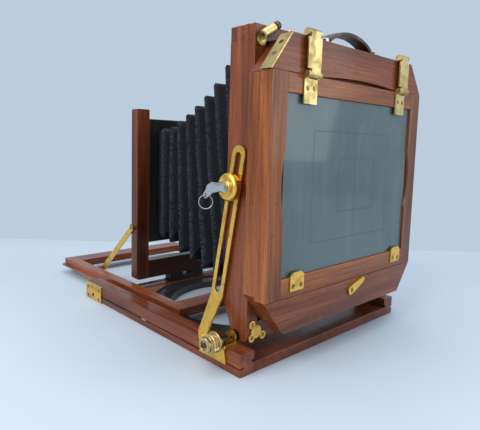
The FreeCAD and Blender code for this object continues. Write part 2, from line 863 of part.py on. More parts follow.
def make_bellows():
    """Tapered bellows open at both ends. Its pleats lean back more and more towards the body, and
    every other valley has cut corners."""
    last = len(RIDGE_TOPS) - 1
    front_y = standard_rear + 0.2
    rear_y = d.body_front - 0.2

    def between(heights, place):
        index = min(int(place), last - 1)
        return heights[index] + (heights[index + 1] - heights[index]) * (place - index)

    def ring(place, y, inset, cut):
        """Wire at a place counted in ridges. The inset and the corner's cut are in millimetres."""
        share = (y - d.first_ridge_y) / (rear_y - d.first_ridge_y)
        lean = d.bellows_lean * max(share, 0) ** 2 * (1 - share)
        half_x = d.bellows_front_x + (d.bellows_rear_x - d.bellows_front_x) * place / last - inset
        high = between(RIDGE_TOPS, place) - inset
        low = between(RIDGE_BOTTOMS, place) + inset
        corners = (
            (half_x - cut, high), (half_x, high - cut), (half_x, low + cut), (half_x - cut, low),
            (cut - half_x, low), (-half_x, low + cut), (-half_x, high - cut), (cut - half_x, high),
        )
        return Part.makePolygon(
            [Vec(x, y + lean * (high - z) / (high - low), z) for x, z in corners + corners[:1]]
        )

    def rings(wall):
        """All the wires from front to rear, moved inwards by the wall."""
        wires = [ring(0, front_y, 4.0 + wall, 3.0)]
        for index in range(last + 1):
            y = d.first_ridge_y + d.ridge_pitch * index
            wires.append(ring(index, y, wall, 2.5))
            if index < last:
                cut = 3.0 + 11.0 * (index % 2)
                wires.append(ring(index + 0.5, y + d.ridge_pitch / 2, d.fold_depth + wall, cut))
        wires.append(ring(last, rear_y, 6.0 + wall, 3.0))
        return wires

    skin = Part.makeLoft(rings(0), True, True)
    hollow = Part.makeLoft(rings(d.bellows_wall), True, True)
    keep(shaped("bellows", skin.cut(hollow)), "bellows")


# ---------------------------------------------------------------------------------------------
# rear body
# ---------------------------------------------------------------------------------------------

body_half = d.body_width / 2
body_rear = d.body_front + d.body_depth
body_inner = body_half - d.body_wall
FINGERS = ((0.0, 9.5), (13.0, 19.0), (24.0, 29.5))


def finger_blocks(name, side):
    """The three fingers of the top board at one end."""
    start_x = body_inner if side == LEFT else -body_half
    pieces = []
    for number, (low, high) in enumerate(FINGERS, start=1):
        corner = (start_x, d.body_front + low, d.body_top - d.body_wall)
        piece = block(f"{name}_finger_{number}", corner, "body_wall", "body_wall", "body_wall")
        piece.setExpression("Width", None)
        piece.Width = high - low
        pieces.append(piece)
    return pieces


def make_rear_body():
    """Box frame with finger-jointed top corners and a notched foot at each side."""
    front, rear, low, high = d.body_front, body_rear, d.body_bottom, d.body_top
    points = [
        (front, high, 1.2),
        (front, low + 30.0, 4.0),
        (front + 9.0, low + 10.5, 4.0),
        (front + d.foot_setback, low, 3.0),
        (rear, low, 4.0),
        (rear, high, 1.2),
    ]
    for side, name in SIDES:
        label = f"body_side_{name}"
        offset_x = body_inner if side == LEFT else -body_half
        pivot_hole = (d.pivot_y, d.pivot_z, "pivot_radius + running_play")
        stud_hole = (d.stud_y, d.stud_z, "stud_radius + running_play")
        side_board = plate(
            f"{label}_blank", "YZ_Plane", (offset_x, 0, 0), points, "body_wall",
            [pivot_hole, stud_hole],
        )
        keep(drilled(label, side_board, finger_blocks(label, side)), label)

    corner = (-body_inner, front, high - d.body_wall)
    board = block("body_top_board", corner, "body_width - 2 * body_wall", "body_depth", "body_wall")
    fingers = finger_blocks("top_left", LEFT) + finger_blocks("top_right", RIGHT)
    keep(fused("body_top", [board] + fingers), "body_top")

    corner = (-body_inner, front + d.foot_setback, low)
    sill = block("body_sill", corner, "body_width - 2 * body_wall", "body_depth - foot_setback", "body_sill")
    keep(sill, "body_sill")

    low_edge = low + d.body_sill
    corner = (-body_inner, front, low_edge)
    blank = block(
        "rear_board_blank", corner, "body_width - 2 * body_wall", "rear_board_thickness",
        "body_top - body_wall - body_bottom - body_sill",
    )
    corner = (-d.rear_board_opening_x / 2, front - 1, low_edge + d.rear_board_margin)
    window = block(
        "rear_board_window", corner, "rear_board_opening_x", "rear_board_thickness + 2",
        "body_top - body_wall - body_bottom - body_sill - 2 * rear_board_margin",
    )
    keep(drilled("bellows_rear_board", blank, [window]), "bellows_rear_board")


def make_corner_plates():
    """Three-lobed brass plates on the lower rear corners of the body."""
    lobes = ((106.3, 39.5), (106.5, 26.6), (92.0, 26.6))
    plates, pieces = [], []
    for side, name in SIDES:
        base = (side * 101.0, body_rear, 32.0)
        centre = rod(f"corner_centre_{name}", base, (0, 1, 0), "screw_head_radius * 2.7",
                     "corner_plate_thickness")
        parts = [centre]
        seats = []
        for number, (x, z) in enumerate(lobes, start=1):
            spot = (side * x, body_rear, z)
            parts.append(
                rod(f"corner_lobe_{name}_{number}", spot, (0, 1, 0), "screw_head_radius * 1.6",
                    "corner_plate_thickness")
            )
            head = (side * x, body_rear + d.corner_plate_thickness, z)
            seats.append(
                rod(f"corner_seat_{name}_{number}", (side * x, body_rear - 1, z), (0, 1, 0),
                    "screw_head_radius", "corner_plate_thickness + 2")
            )
            pieces.append(screw(f"corner_screw_{name}_{number}", head, (0, 1, 0), (1, 0, 1)))
        plates.append(drilled(f"corner_plate_{name}", fused(f"corner_blank_{name}", parts), seats))
    keep(grouped("corner_plates", plates), "corner_plates")
    keep(grouped("corner_plate_screws", pieces), "corner_plate_screws")


CATCH_BASE = Vec(108.0, body_rear + 0.2, 301.5)
CATCH_DIRECTION = Vec(-12.5, 0, 8.0).normalize()


def make_back_catch():
    """Brass barrel on the body's rear face, with a spring bolt that is drawn by a dark knob."""
    start = CATCH_BASE + Vec(0, d.catch_radius, 0)
    barrel = rod("catch_tube", start, CATCH_DIRECTION, "catch_radius", "catch_length")
    lug_start = (CATCH_BASE.x - 1.5, body_rear, CATCH_BASE.z - 3.5)
    lug = rod("catch_lug", lug_start, (0, 1, 0), "catch_radius + 0.4", "corner_plate_thickness + 1")
    bore_start = start - CATCH_DIRECTION * 2
    bore = rod("catch_bore", bore_start, CATCH_DIRECTION, "bolt_radius + running_play", "catch_length + 4")
    keep(drilled("catch_barrel", fused("catch_blank", [barrel, lug]), [bore]), "catch_barrel")
    shaft = rod("bolt_shaft", start, CATCH_DIRECTION, "bolt_radius", "catch_length + 3")
    knob_start = start + CATCH_DIRECTION * (d.catch_length + 2.4)
    knob = rod("bolt_knob", knob_start, CATCH_DIRECTION, "catch_radius - 0.6", "catch_radius")
    keep(fused("catch_bolt", [shaft, knob]), "catch_bolt")


def make_handle():
    """Leather strap handle: flat tabs at both ends and a raised grip pushed to one side."""
    top = d.body_top
    lift = d.handle_hump_rise
    thick = d.handle_thickness
    left, right = d.handle_hump_left, d.handle_hump_right
    slope = 16.0
    outer = [
        (d.handle_left, top, 0.5),
        (d.handle_left, top + thick, 1.5),
        (left, top + thick, 8.0),
        (left - slope, top + thick + lift, 12.0),
        (right + slope, top + thick + lift, 12.0),
        (right, top + thick, 8.0),
        (d.handle_right, top + thick, 1.5),
        (d.handle_right, top, 0.5),
        (right - 3.0, top),
        (right + slope - 3.0, top + lift, 8.0),
        (left - slope + 3.0, top + lift, 8.0),
        (left + 3.0, top),
    ]
    rear = (d.body_front + body_rear + d.handle_width) / 2
    keep(plate("handle_strap", "XZ_Plane", (0, rear, 0), outer, "handle_width"), "handle_strap")
    middle_y = (d.body_front + body_rear) / 2
    rivets = [
        rod(f"handle_rivet_{number}", (x, middle_y, top + thick), (0, 0, 1), "screw_head_radius * 1.4",
            "corner_plate_thickness")
        for number, x in enumerate((d.handle_left - 8.0, d.handle_right + 8.0), start=1)
    ]
    keep(grouped("handle_rivets", rivets), "handle_rivets")


# ---------------------------------------------------------------------------------------------
# side brackets, stays and clamp knobs
# ---------------------------------------------------------------------------------------------

def make_brackets():
    """Brass angle brackets. A lip runs in the kerf and an ear beside the body takes the pivot."""
    thick = d.bracket_thickness
    plate_x = half_bed + 0.3
    lip_inner = half_bed - d.kerf_depth + 0.5
    lip_rise = d.kerf_rise - 0.3
    lip_bottom = d.kerf_bottom + (d.kerf_rise - lip_rise) / 2
    shelf_z = d.rail_depth + 0.3
    shelf_half = 7.0
    pin_ear_radius = 4.2
    outline = [
        (d.bracket_front, lip_bottom),
        (d.bracket_rear, lip_bottom),
        (d.pivot_y + shelf_half, shelf_z + thick),
        (d.pivot_y - shelf_half, shelf_z + thick),
        (d.pivot_y - 13.0, lip_bottom + 7.0),
        (d.stay_pin_y + pin_ear_radius, d.stay_pin_z),
        (d.stay_pin_y - pin_ear_radius, d.stay_pin_z),
    ]

    def box(side, x_low, x_high, y_low, y_high, z_low, z_high):
        start = x_low if side == LEFT else -x_high
        return Part.makeBox(x_high - x_low, y_high - y_low, z_high - z_low, Vec(start, y_low, z_low))

    brackets = []
    for side, name in SIDES:
        outwards = Vec(side, 0, 0)

        def disc(radius, length, x, y, z):
            return Part.makeCylinder(radius, length, Vec(side * x, y, z), outwards)

        edge = [Vec(side * plate_x, y, z) for y, z in outline + outline[:1]]
        outer = Part.Face(Part.makePolygon(edge)).extrude(outwards * thick)
        lip = box(side, lip_inner, plate_x + thick, d.bracket_front, d.bracket_rear,
                  lip_bottom, lip_bottom + lip_rise)
        shelf = box(side, d.bracket_ear_x, plate_x + thick, d.pivot_y - shelf_half, d.pivot_y + shelf_half,
                    shelf_z, shelf_z + thick)
        ear = box(side, d.bracket_ear_x, d.bracket_ear_x + thick, d.pivot_y - 6.0, d.pivot_y + 6.0,
                  shelf_z, d.pivot_z + 1.0)
        below = box(side, d.bracket_ear_x - 1, plate_x + thick + 1, d.bracket_front - 1,
                    d.bracket_rear + 1, 0, shelf_z)
        lobe = disc(d.bracket_lobe, thick, d.bracket_ear_x, d.pivot_y, d.pivot_z).cut(below)
        pin_ear = disc(pin_ear_radius, thick, plate_x, d.stay_pin_y, d.stay_pin_z)
        pin_length = d.stay_foot_x + d.stay_thickness + 0.4 - plate_x
        pin = disc(d.stay_pin_radius, pin_length, plate_x, d.stay_pin_y, d.stay_pin_z)
        pin_head = disc(3.4, 1.2, d.stay_foot_x + d.stay_thickness + 0.3, d.stay_pin_y, d.stay_pin_z)
        bracket = outer.multiFuse([lip, shelf, ear, lobe, pin_ear, pin, pin_head])
        bore = disc(d.pivot_radius, 3 * thick, d.bracket_ear_x - thick, d.pivot_y, d.pivot_z)
        brackets.append(shaped(f"side_bracket_{name}", bracket.cut(bore).removeSplitter()))
    keep(grouped("side_brackets", brackets), "side_brackets")


def make_pivots():
    """Pivot studs with their dark spacers, and the lower clamp knobs that turn on them."""
    plate_outer = half_bed + 0.3 + d.bracket_thickness
    collars = (
        (body_half + 0.3, d.bracket_lobe - 0.8, 4.0),
        (plate_outer - 8.0, d.bracket_lobe - 2.9, 8.0),
        (plate_outer + 0.3, d.bracket_lobe + 1.0, 3.4),
    )
    pieces = []
    for side, name in SIDES:
        stud_start = (side * (body_inner + 1.0), d.pivot_y, d.pivot_z)
        stud = rod(
            f"pivot_stud_{name}", stud_start, (side, 0, 0), "pivot_radius",
            "stay_foot_x + lower_knob_thickness - body_width / 2 + body_wall + 1",
        )
        washers = [
            shaped(
                f"collar_{name}_{number}",
                Part.makeCylinder(radius, length, Vec(side * start, d.pivot_y, d.pivot_z), Vec(side, 0, 0)),
            )
            for number, (start, radius, length) in enumerate(collars, start=1)
        ]
        pieces.append(fused(f"pivot_{name}", [stud] + washers))
    keep(grouped("pivot_studs", pieces), "pivot_studs")

    radius, thick = d.lower_knob_radius, d.lower_knob_thickness
    bore = d.pivot_radius + d.running_play
    profile = [
        (bore, 0),
        (radius - 2.4, 0, 0.5),
        (radius - 2.4, 1.6),
        (radius, 1.9, 0.5),
        (radius, 3.0, 0.5),
        (radius - 1.0, 3.4),
        (radius - 1.0, 9.4, 0.5),
        (radius - 2.6, 10.2),
        (radius - 2.6, 11.2),
        (radius - 1.8, 11.6, 0.5),
        (radius - 1.8, thick - 0.4, 0.8),
        (4.6, thick, 0.5),
        (4.0, thick - 1.4),
        (bore, thick - 1.4),
    ]
    for side, name in SIDES:
        label = f"lower_knob_{name}"
        base = (side * (d.stay_foot_x + 2.9), d.pivot_y, d.pivot_z)
        keep(turned(label, base, (side, 0, 0), profile), label)


def stay_centre(z):
    """The y of the stay's centre line at a height. It leans back above the bend."""
    if z >= d.stay_bend_z:
        return d.stud_y - d.stay_lean * (d.stud_z - z)
    share = (d.stay_bend_z - z) / (d.stay_bend_z - d.stay_pin_z)
    return stay_centre(d.stay_bend_z) * (1 - share) + d.stay_pin_y * share


def make_stays():
    """Slotted brass stays. The upper part lies on the body, the foot bends out to the bracket."""
    half = d.stay_half_width
    slot = d.stay_slot_half_width
    top = d.stay_slot_top_z + 6.0

    def vertex(z, sideways, radius=0):
        y = stay_centre(z) + sideways
        return (y, z, radius) if radius else (y, z)

    upper = [
        vertex(d.stay_bend_z, -half), vertex(top, -half, half - 0.2),
        vertex(top, half, half - 0.2), vertex(d.stay_bend_z, half),
    ]
    slot_points = [
        vertex(d.stay_slot_bottom_z, -slot, slot - 0.1), vertex(d.stay_slot_top_z, -slot, slot - 0.1),
        vertex(d.stay_slot_top_z, slot, slot - 0.1), vertex(d.stay_slot_bottom_z, slot, slot - 0.1),
    ]

    def face(points):
        edges = [item.toShape() for item in outline_geometry(points)]
        return Part.Face(Part.Wire(Part.__sortEdges__(edges)))

    to_side = FreeCAD.Placement(Vec(0, 0, 0), FreeCAD.Rotation(Vec(1, 1, 1), 120))

    def flat(points):
        """The outline as a plate in the y-z plane, padded towards +X."""
        shape = face(points).extrude(Vec(0, 0, d.stay_thickness))
        shape.Placement = to_side
        return shape

    head = flat(upper).cut(flat(slot_points))
    head.translate(Vec(d.stay_plane_x, 0, 0))

    foot_half = half - 2.0
    bend, pin_z = d.stay_bend_z, d.stay_pin_z
    inner = d.stay_plane_x
    outer = d.stay_foot_x
    reach = outer - inner
    shoulder = pin_z + 5.0
    side_profile = [
        Vec(inner, 0, bend), Vec(inner + d.stay_thickness, 0, bend),
        Vec(outer + d.stay_thickness, 0, shoulder), Vec(outer + d.stay_thickness, 0, pin_z - 6.0),
        Vec(outer, 0, pin_z - 6.0), Vec(outer, 0, shoulder - reach * 0.02),
        Vec(inner, 0, bend - 1.0),
    ]
    slab = Part.Face(Part.makePolygon(side_profile + side_profile[:1])).extrude(Vec(0, 60, 0))
    slab.translate(Vec(0, d.stay_pin_y - 30, 0))
    foot_outline = [
        vertex(bend, -half), vertex(bend, half), vertex(pin_z + 12, foot_half),
        vertex(pin_z - 5.2, foot_half, 4.6), vertex(pin_z - 5.2, -foot_half, 4.6),
        vertex(pin_z + 12, -foot_half),
    ]
    prism = face(foot_outline).extrude(Vec(0, 0, reach + 4))
    prism.Placement = to_side
    prism.translate(Vec(inner - 1, 0, 0))
    eye = Part.makeCylinder(
        d.stay_pin_radius + 0.1, 6, Vec(outer - 2, d.stay_pin_y, pin_z), Vec(1, 0, 0)
    )
    foot = slab.common(prism).cut(eye)
    left = head.fuse(foot).removeSplitter()
    keep(shaped("stay_left", left), "stay_left")
    right = left.mirror(Vec(0, 0, 0), Vec(1, 0, 0))
    keep(shaped("stay_right", right), "stay_right")


def make_upper_knobs():
    """Studs in the body's sides, the clamp knobs on them and, on the left, a tab with a ring."""
    start = d.stay_plane_x + d.stay_thickness + 0.3
    radius, thick = d.knob_radius, d.knob_thickness
    bore = d.stud_radius + d.running_play
    profile = [
        (bore, 0),
        (radius - 1.5, 0, 0.6),
        (radius - 1.5, 2.2),
        (radius, 2.8, 0.6),
        (radius, 7.6, 0.8),
        (radius - 2.2, thick - 1.2, 0.5),
        (radius - 4.5, thick - 1.6),
        (5.4, thick - 1.6),
        (4.9, thick, 0.5),
        (3.4, thick, 0.4),
        (bore, thick - 1.2),
    ]
    studs = []
    for side, name in SIDES:
        studs.append(
            rod(f"upper_stud_{name}", (side * (body_inner + 1.0), d.stud_y, d.stud_z), (side, 0, 0),
                "stud_radius", "stay_plane_x + knob_thickness - body_width / 2 + body_wall + 3")
        )
        label = f"upper_knob_{name}"
        keep(turned(label, (side * start, d.stud_y, d.stud_z), (side, 0, 0), profile), label)
    keep(grouped("upper_studs", studs), "upper_studs")


TAB_EYE = Vec(0, 82.6, 158.6)
RING_AXIS = Vec(0.69, 0.72, 0)


def make_ring_tab():
    """Steel tab on the left stud's end, with a split ring through its eye."""
    tab_x = d.stay_plane_x + d.stay_thickness + 0.3 + d.knob_thickness + 0.3
    start = Vec(tab_x, d.stud_y, d.stud_z)
    boss = Part.makeCylinder(4.6, d.tab_thickness, start, Vec(1, 0, 0))
    neck = [
        Vec(tab_x, d.stud_y - 2.0, d.stud_z + 3.4),
        Vec(tab_x, 91.0, 171.5),
        Vec(tab_x, 84.6, 168.0),
        Vec(tab_x, TAB_EYE.y - 2.4, TAB_EYE.z),
        Vec(tab_x, TAB_EYE.y + 1.4, TAB_EYE.z - 2.9),
        Vec(tab_x, 93.0, 161.6),
        Vec(tab_x, d.stud_y - 2.0, d.stud_z - 3.4),
    ]
    blade = Part.Face(Part.makePolygon(neck + neck[:1])).extrude(Vec(d.tab_thickness, 0, 0))
    eye_end = Part.makeCylinder(
        3.3, d.tab_thickness, Vec(tab_x, TAB_EYE.y, TAB_EYE.z), Vec(1, 0, 0)
    )
    tab = boss.multiFuse([blade, eye_end])
    eye = Part.makeCylinder(1.8, 4, Vec(tab_x - 1, TAB_EYE.y, TAB_EYE.z), Vec(1, 0, 0))
    bore = Part.makeCylinder(d.stud_radius + d.running_play, 4, start - Vec(1, 0, 0), Vec(1, 0, 0))
    keep(shaped("ring_tab", tab.cut(eye).cut(bore).removeSplitter()), "ring_tab")

    ring = doc.addObject("Part::Torus", "split_ring")
    ring.setExpression("Radius1", cell("ring_radius"))
    ring.setExpression("Radius2", cell("ring_wire"))
    centre = Vec(tab_x + d.tab_thickness / 2, TAB_EYE.y, TAB_EYE.z - d.ring_radius)
    ring.Placement = FreeCAD.Placement(centre, FreeCAD.Rotation(Vec(0, 0, 1), RING_AXIS))
    keep(ring, "split_ring")


# ---------------------------------------------------------------------------------------------
# reversing back and ground glass frame
# ---------------------------------------------------------------------------------------------

plate_rear = d.back_plate_front + d.back_plate_depth


def make_reversing_back():
    """Octagonal back: an inner frame of four pieces, and clipped end blocks behind it."""
    half, top, bottom = d.back_frame_half, d.back_top - 1.5, d.back_bottom + 1.5
    clip = d.back_clip_x
    joint_top, joint_bottom = d.glass_frame_top + d.frame_gap, d.glass_frame_bottom - d.frame_gap
    rear = d.back_front + d.back_frame_depth
    rails = (
        ("back_rail_top", [(-half, joint_top), (half, joint_top), (half - clip, top), (clip - half, top)]),
        ("back_rail_bottom",
         [(clip - half, bottom), (half - clip, bottom), (half, joint_bottom), (-half, joint_bottom)]),
    )
    cross_pieces = [
        plate(label, "XZ_Plane", (0, rear, 0), points, "back_frame_depth") for label, points in rails
    ]
    keep(grouped("back_rails", cross_pieces), "back_rails")
    stiles = []
    for side, name in SIDES:
        start_x = half - d.back_stile_width if side == LEFT else -half
        corner = (start_x, d.back_front, joint_bottom)
        stiles.append(
            block(
                f"back_stile_{name}", corner, "back_stile_width", "back_frame_depth",
                "glass_frame_top - glass_frame_bottom + 2 * frame_gap",
            )
        )
    keep(grouped("back_stiles", stiles), "back_stiles")

    half = d.back_half
    gap_mid = joint_top + d.pull_gap
    chord = 68.0
    top_points = [
        (-half, joint_top), (half, joint_top), (half - clip, d.back_top, 1.0), (clip - half, d.back_top, 1.0)
    ]
    blank = plate("top_block_blank", "XZ_Plane", (0, plate_rear, 0), top_points, "back_plate_depth")
    radius = (chord ** 2 + d.pull_gap ** 2) / (2 * d.pull_gap)
    scoop = rod("pull_scoop", (-6.0, d.back_plate_front + 4.0, gap_mid - radius), (0, 1, 0), "1",
                "back_plate_depth")
    scoop.setExpression("Radius", None)
    scoop.Radius = radius
    upper = drilled("back_block_top", blank, [scoop])

    bottom_points = [
        (clip - half, d.back_bottom, 1.0), (half - clip, d.back_bottom, 1.0),
        (half, joint_bottom), (-half, joint_bottom),
    ]
    lower = plate("back_block_bottom", "XZ_Plane", (0, plate_rear, 0), bottom_points, "back_plate_depth")
    keep(grouped("back_blocks", [upper, lower]), "back_blocks")


def make_glass_frame():
    """Four-piece frame around the ground glass, with a finger notch in each stile."""
    half_open = d.glass_opening_x / 2
    low, high = d.glass_frame_bottom, d.glass_frame_top
    front = d.back_plate_front + 0.2
    middle = (d.glass_opening_top + d.glass_opening_bottom) / 2 + 3.0
    radius = (d.notch_half_height ** 2 + d.notch_depth ** 2) / (2 * d.notch_depth)
    lip_depth = d.glass_seat - front
    stiles = []
    for side, name in SIDES:
        label = f"glass_stile_{name}"
        start_x = half_open if side == LEFT else -d.back_half
        corner = (start_x, front, low)
        blank = block(
            f"{label}_outer", corner, "back_half - glass_opening_x / 2",
            "back_plate_depth - 0.2", "glass_frame_top - glass_frame_bottom",
        )
        lip_x = half_open - d.glass_lip if side == LEFT else -half_open
        lip = block(
            f"{label}_lip", (lip_x, front, d.glass_opening_bottom), "glass_lip", "glass_lip",
            "glass_opening_top - glass_opening_bottom",
        )
        lip.setExpression("Width", None)
        lip.Width = lip_depth
        notch_x = side * (half_open + d.notch_depth - radius)
        notch = rod(f"{label}_notch", (notch_x, d.glass_seat, middle), (0, 1, 0), "1", "back_plate_depth")
        notch.setExpression("Radius", None)
        notch.Radius = radius
        stiles.append(drilled(label, fused(f"{label}_blank", [blank, lip]), [notch]))
    keep(grouped("glass_stiles", stiles), "glass_stiles")
    rails = []
    for label, bottom, height, lip_z in (
        ("glass_rail_top", d.glass_opening_top, "glass_frame_top - glass_opening_top",
         d.glass_opening_top - d.glass_lip),
        ("glass_rail_bottom", low, "glass_opening_bottom - glass_frame_bottom",
         d.glass_opening_bottom),
    ):
        blank = block(
            f"{label}_outer", (-half_open, front, bottom), "glass_opening_x",
            "back_plate_depth - 0.2", height,
        )
        lip = block(
            f"{label}_lip", (d.glass_lip - half_open, front, lip_z),
            "glass_opening_x - 2 * glass_lip", "glass_lip", "glass_lip",
        )
        lip.setExpression("Width", None)
        lip.Width = lip_depth
        rails.append(fused(label, [blank, lip]))
    keep(grouped("glass_rails", rails), "glass_rails")

    play = d.glass_play
    corner = (play - half_open, d.glass_seat, d.glass_opening_bottom + play)
    glass = block(
        "ground_glass", corner, "glass_opening_x - 2 * glass_play", "glass_thickness",
        "glass_opening_top - glass_opening_bottom - 2 * glass_play",
    )
    keep(glass, "ground_glass")


def make_glass_clips():
    """Brass clips over the lower corners of the glass. Returns their screws."""
    clips, pieces = [], []
    for side, name in SIDES:
        x_low, x_high = (76.0, 95.0) if side == LEFT else (-99.0, -80.0)
        z_low, z_high = d.glass_opening_bottom - 12.5, d.glass_opening_bottom + 4.5
        points = [
            (x_low, z_low, 1.0), (x_high, z_low, 1.0), (x_high, z_high - 3, 1.0),
            (x_high - 4, z_high, 1.0), (x_low + 4, z_high, 1.0), (x_low, z_high - 3, 1.0),
        ]
        heads = [(x, plate_rear + 1.4, z_low + 4.6) for x in (x_low + 4.2, x_high - 4.2)]
        circles = [(x, z, "screw_head_radius") for x, _, z in heads]
        clips.append(
            plate(f"glass_clip_{name}", "XZ_Plane", (0, plate_rear + 1.5, 0), points,
                  "hinge_thickness", circles)
        )
        for number, head in enumerate(heads, start=1):
            pieces.append(screw(f"glass_clip_screw_{name}_{number}", head, (0, 1, 0), (1, 0, -1)))
    keep(grouped("glass_clips", clips), "glass_clips")
    return pieces


def make_hinges():
    """Double hinges: a leaf on the back, a swinging strap with its two pins, and a leaf on the
    glass frame. Returns the screws of the glass frame's leaves."""
    thick = d.hinge_thickness
    radius = d.hinge_barrel_radius
    gap = 0.25
    centre_half = d.hinge_strap_width / 2 - 3.0
    end_half = d.hinge_leaf_width / 2 - 2.0

    def box(x_low, x_high, y_low, y_high, z_low, z_high):
        return Part.makeBox(x_high - x_low, y_high - y_low, z_high - z_low, Vec(x_low, y_low, z_low))

    def barrel(x_low, x_high, y, z):
        return Part.makeCylinder(radius, x_high - x_low, Vec(x_low, y, z), Vec(1, 0, 0))

    def pin(x_low, y, z):
        return Part.makeCylinder(d.hinge_pin_radius, 2 * end_half, Vec(x_low, y, z), Vec(1, 0, 0))

    def bore(x, y, z):
        reach = d.hinge_leaf_width
        return Part.makeCylinder(
            d.hinge_pin_radius + d.running_play, 2 * reach, Vec(x - reach, y, z), Vec(1, 0, 0)
        )

    leaf_screws, top_leaves, straps, glass_leaves = [], [], [], []
    for side, name in SIDES:
        x = side * d.hinge_x
        top_y, top_z = d.top_hinge_y, d.top_hinge_z
        low_y, low_z = d.lower_hinge_y, d.lower_hinge_z
        leaf_z = d.back_top
        leaf_rear = top_y - radius - 0.3
        leaf_front = d.back_plate_front + 1.0
        top_leaf = box(x - end_half, x + end_half, leaf_front, leaf_rear, leaf_z, leaf_z + thick)
        ears = [
            barrel(x - end_half, x - centre_half - gap, top_y, top_z),
            barrel(x + centre_half + gap, x + end_half, top_y, top_z),
        ]
        bridges = [
            box(x - end_half, x - centre_half - gap, leaf_rear - 0.2, top_y, leaf_z, top_z),
            box(x + centre_half + gap, x + end_half, leaf_rear - 0.2, top_y, leaf_z, top_z),
        ]
        shape = top_leaf.multiFuse(ears + bridges).cut(bore(x, top_y, top_z)).removeSplitter()
        top_leaves.append(shaped(f"top_leaf_{name}", shape))

        half = d.hinge_strap_width / 2
        strap_front = top_y + radius - thick
        strap = box(x - centre_half, x + centre_half, strap_front, top_y + radius, top_z - 8.0, top_z)
        body = box(x - half, x + half, strap_front, top_y + radius,
                   low_z + radius + 1.6, top_z - radius - 1.6)
        tongue = box(x - centre_half, x + centre_half, low_y, low_y + radius, low_z, low_z + radius + 1.7)
        knuckles = [
            barrel(x - centre_half, x + centre_half, top_y, top_z),
            barrel(x - centre_half, x + centre_half, low_y, low_z),
            pin(x - end_half, top_y, top_z),
            pin(x - end_half, low_y, low_z),
        ]
        shape = body.multiFuse([strap, tongue] + knuckles).removeSplitter()
        straps.append(shaped(f"hinge_strap_{name}", shape))

        leaf_bottom = 243.5
        leaf_top = low_z - radius - 0.4
        leaf = box(x - end_half, x + end_half, plate_rear, plate_rear + thick, leaf_bottom, leaf_top)
        ears = [
            barrel(x - end_half, x - centre_half - gap, low_y, low_z),
            barrel(x + centre_half + gap, x + end_half, low_y, low_z),
        ]
        bridges = [
            box(x - end_half, x - centre_half - gap, plate_rear, low_y, low_z - radius - 0.5, low_z),
            box(x + centre_half + gap, x + end_half, plate_rear, low_y, low_z - radius - 0.5, low_z),
        ]
        heads = [(x + shift, plate_rear + thick, 257.0) for shift in (-4.6, 4.6)]
        shape = leaf.multiFuse(ears + bridges).cut(bore(x, low_y, low_z))
        for head in heads:
            seat_start = Vec(head[0], plate_rear - 2, head[2])
            seat = Part.makeCylinder(d.screw_head_radius, 6, seat_start, Vec(0, 1, 0))
            shape = shape.cut(seat)
        glass_leaves.append(shaped(f"glass_leaf_{name}", shape.removeSplitter()))
        for number, head in enumerate(heads, start=1):
            leaf_screws.append(screw(f"leaf_screw_{name}_{number}", head, (0, 1, 0), (1, 0, 1)))
    keep(grouped("top_leaves", top_leaves), "top_leaves")
    keep(grouped("hinge_straps", straps), "hinge_straps")
    keep(grouped("glass_leaves", glass_leaves), "glass_leaves")
    return leaf_screws


def make_turn_button():
    """Brass button on the lower block that turns up to hold the glass frame shut. Returns its screw."""
    x, z = d.button_x, d.button_z
    angle = math.radians(159)
    along = Vec(math.cos(angle), math.sin(angle), 0)
    across = Vec(-along.y, along.x, 0)
    centre = Vec(x, z, 0)

    def spot(reach, sideways, radius):
        point = centre + along * reach + across * sideways
        return (point.x, point.y, radius)

    points = [
        spot(-5.5, -4.6, 4.0), spot(-5.5, 4.6, 4.0), spot(5.0, 4.4, 2.0),
        spot(d.button_arm, 2.4, 2.0), spot(d.button_arm, -2.4, 2.0), spot(5.0, -4.4, 2.0),
    ]
    rear = plate_rear + 0.3 + d.button_thickness
    button = plate(
        "turn_button", "XZ_Plane", (0, rear, 0), points, "button_thickness",
        [(x, z, "screw_head_radius + running_play")],
    )
    keep(button, "turn_button")
    head = (x, rear, z)
    return screw("turn_button_screw", head, (0, 1, 0), (1, 0, 1))


def make_corner_keeper():
    """Brass plate on the back's clipped left corner, with a toe down the side. Returns its screw."""
    low = Vec(d.back_half, 0, d.glass_frame_top + d.frame_gap)
    high = Vec(d.back_half - d.back_clip_x, 0, d.back_top)
    along = (high - low).normalize()
    outwards = Vec(along.z, 0, -along.x)
    start = low + along
    end = high - along
    thick = outwards * d.keeper_thickness
    toe = Vec(d.back_half + 0.4, 0, d.glass_frame_top + 0.6)
    toe_out = toe + Vec(d.keeper_thickness + 0.3, 0, 0)
    profile = [start + Vec(0.4, 0, 0), end, end + thick, start + thick * 1.1, toe_out, toe]
    width = d.keeper_width
    base = Vec(0, plate_rear - 0.5 - width, 0)
    keeper = Part.Face(Part.makePolygon(profile + profile[:1])).extrude(Vec(0, width, 0))
    keeper.translate(base)
    middle = Vec(0, base.y + width / 2, 0)
    screw_head = start + along * 15.0 + thick + middle
    hole = start + along * 28.0 + middle
    seat = Part.makeCylinder(d.screw_head_radius, 6, screw_head - outwards * 3, outwards)
    latch_hole = Part.makeCylinder(2.4, 6, hole - outwards * 2, outwards)
    keep(shaped("corner_keeper", keeper.cut(seat).cut(latch_hole)), "corner_keeper")
    return screw("corner_keeper_screw", tuple(screw_head), tuple(outwards), (0, 1, 0))


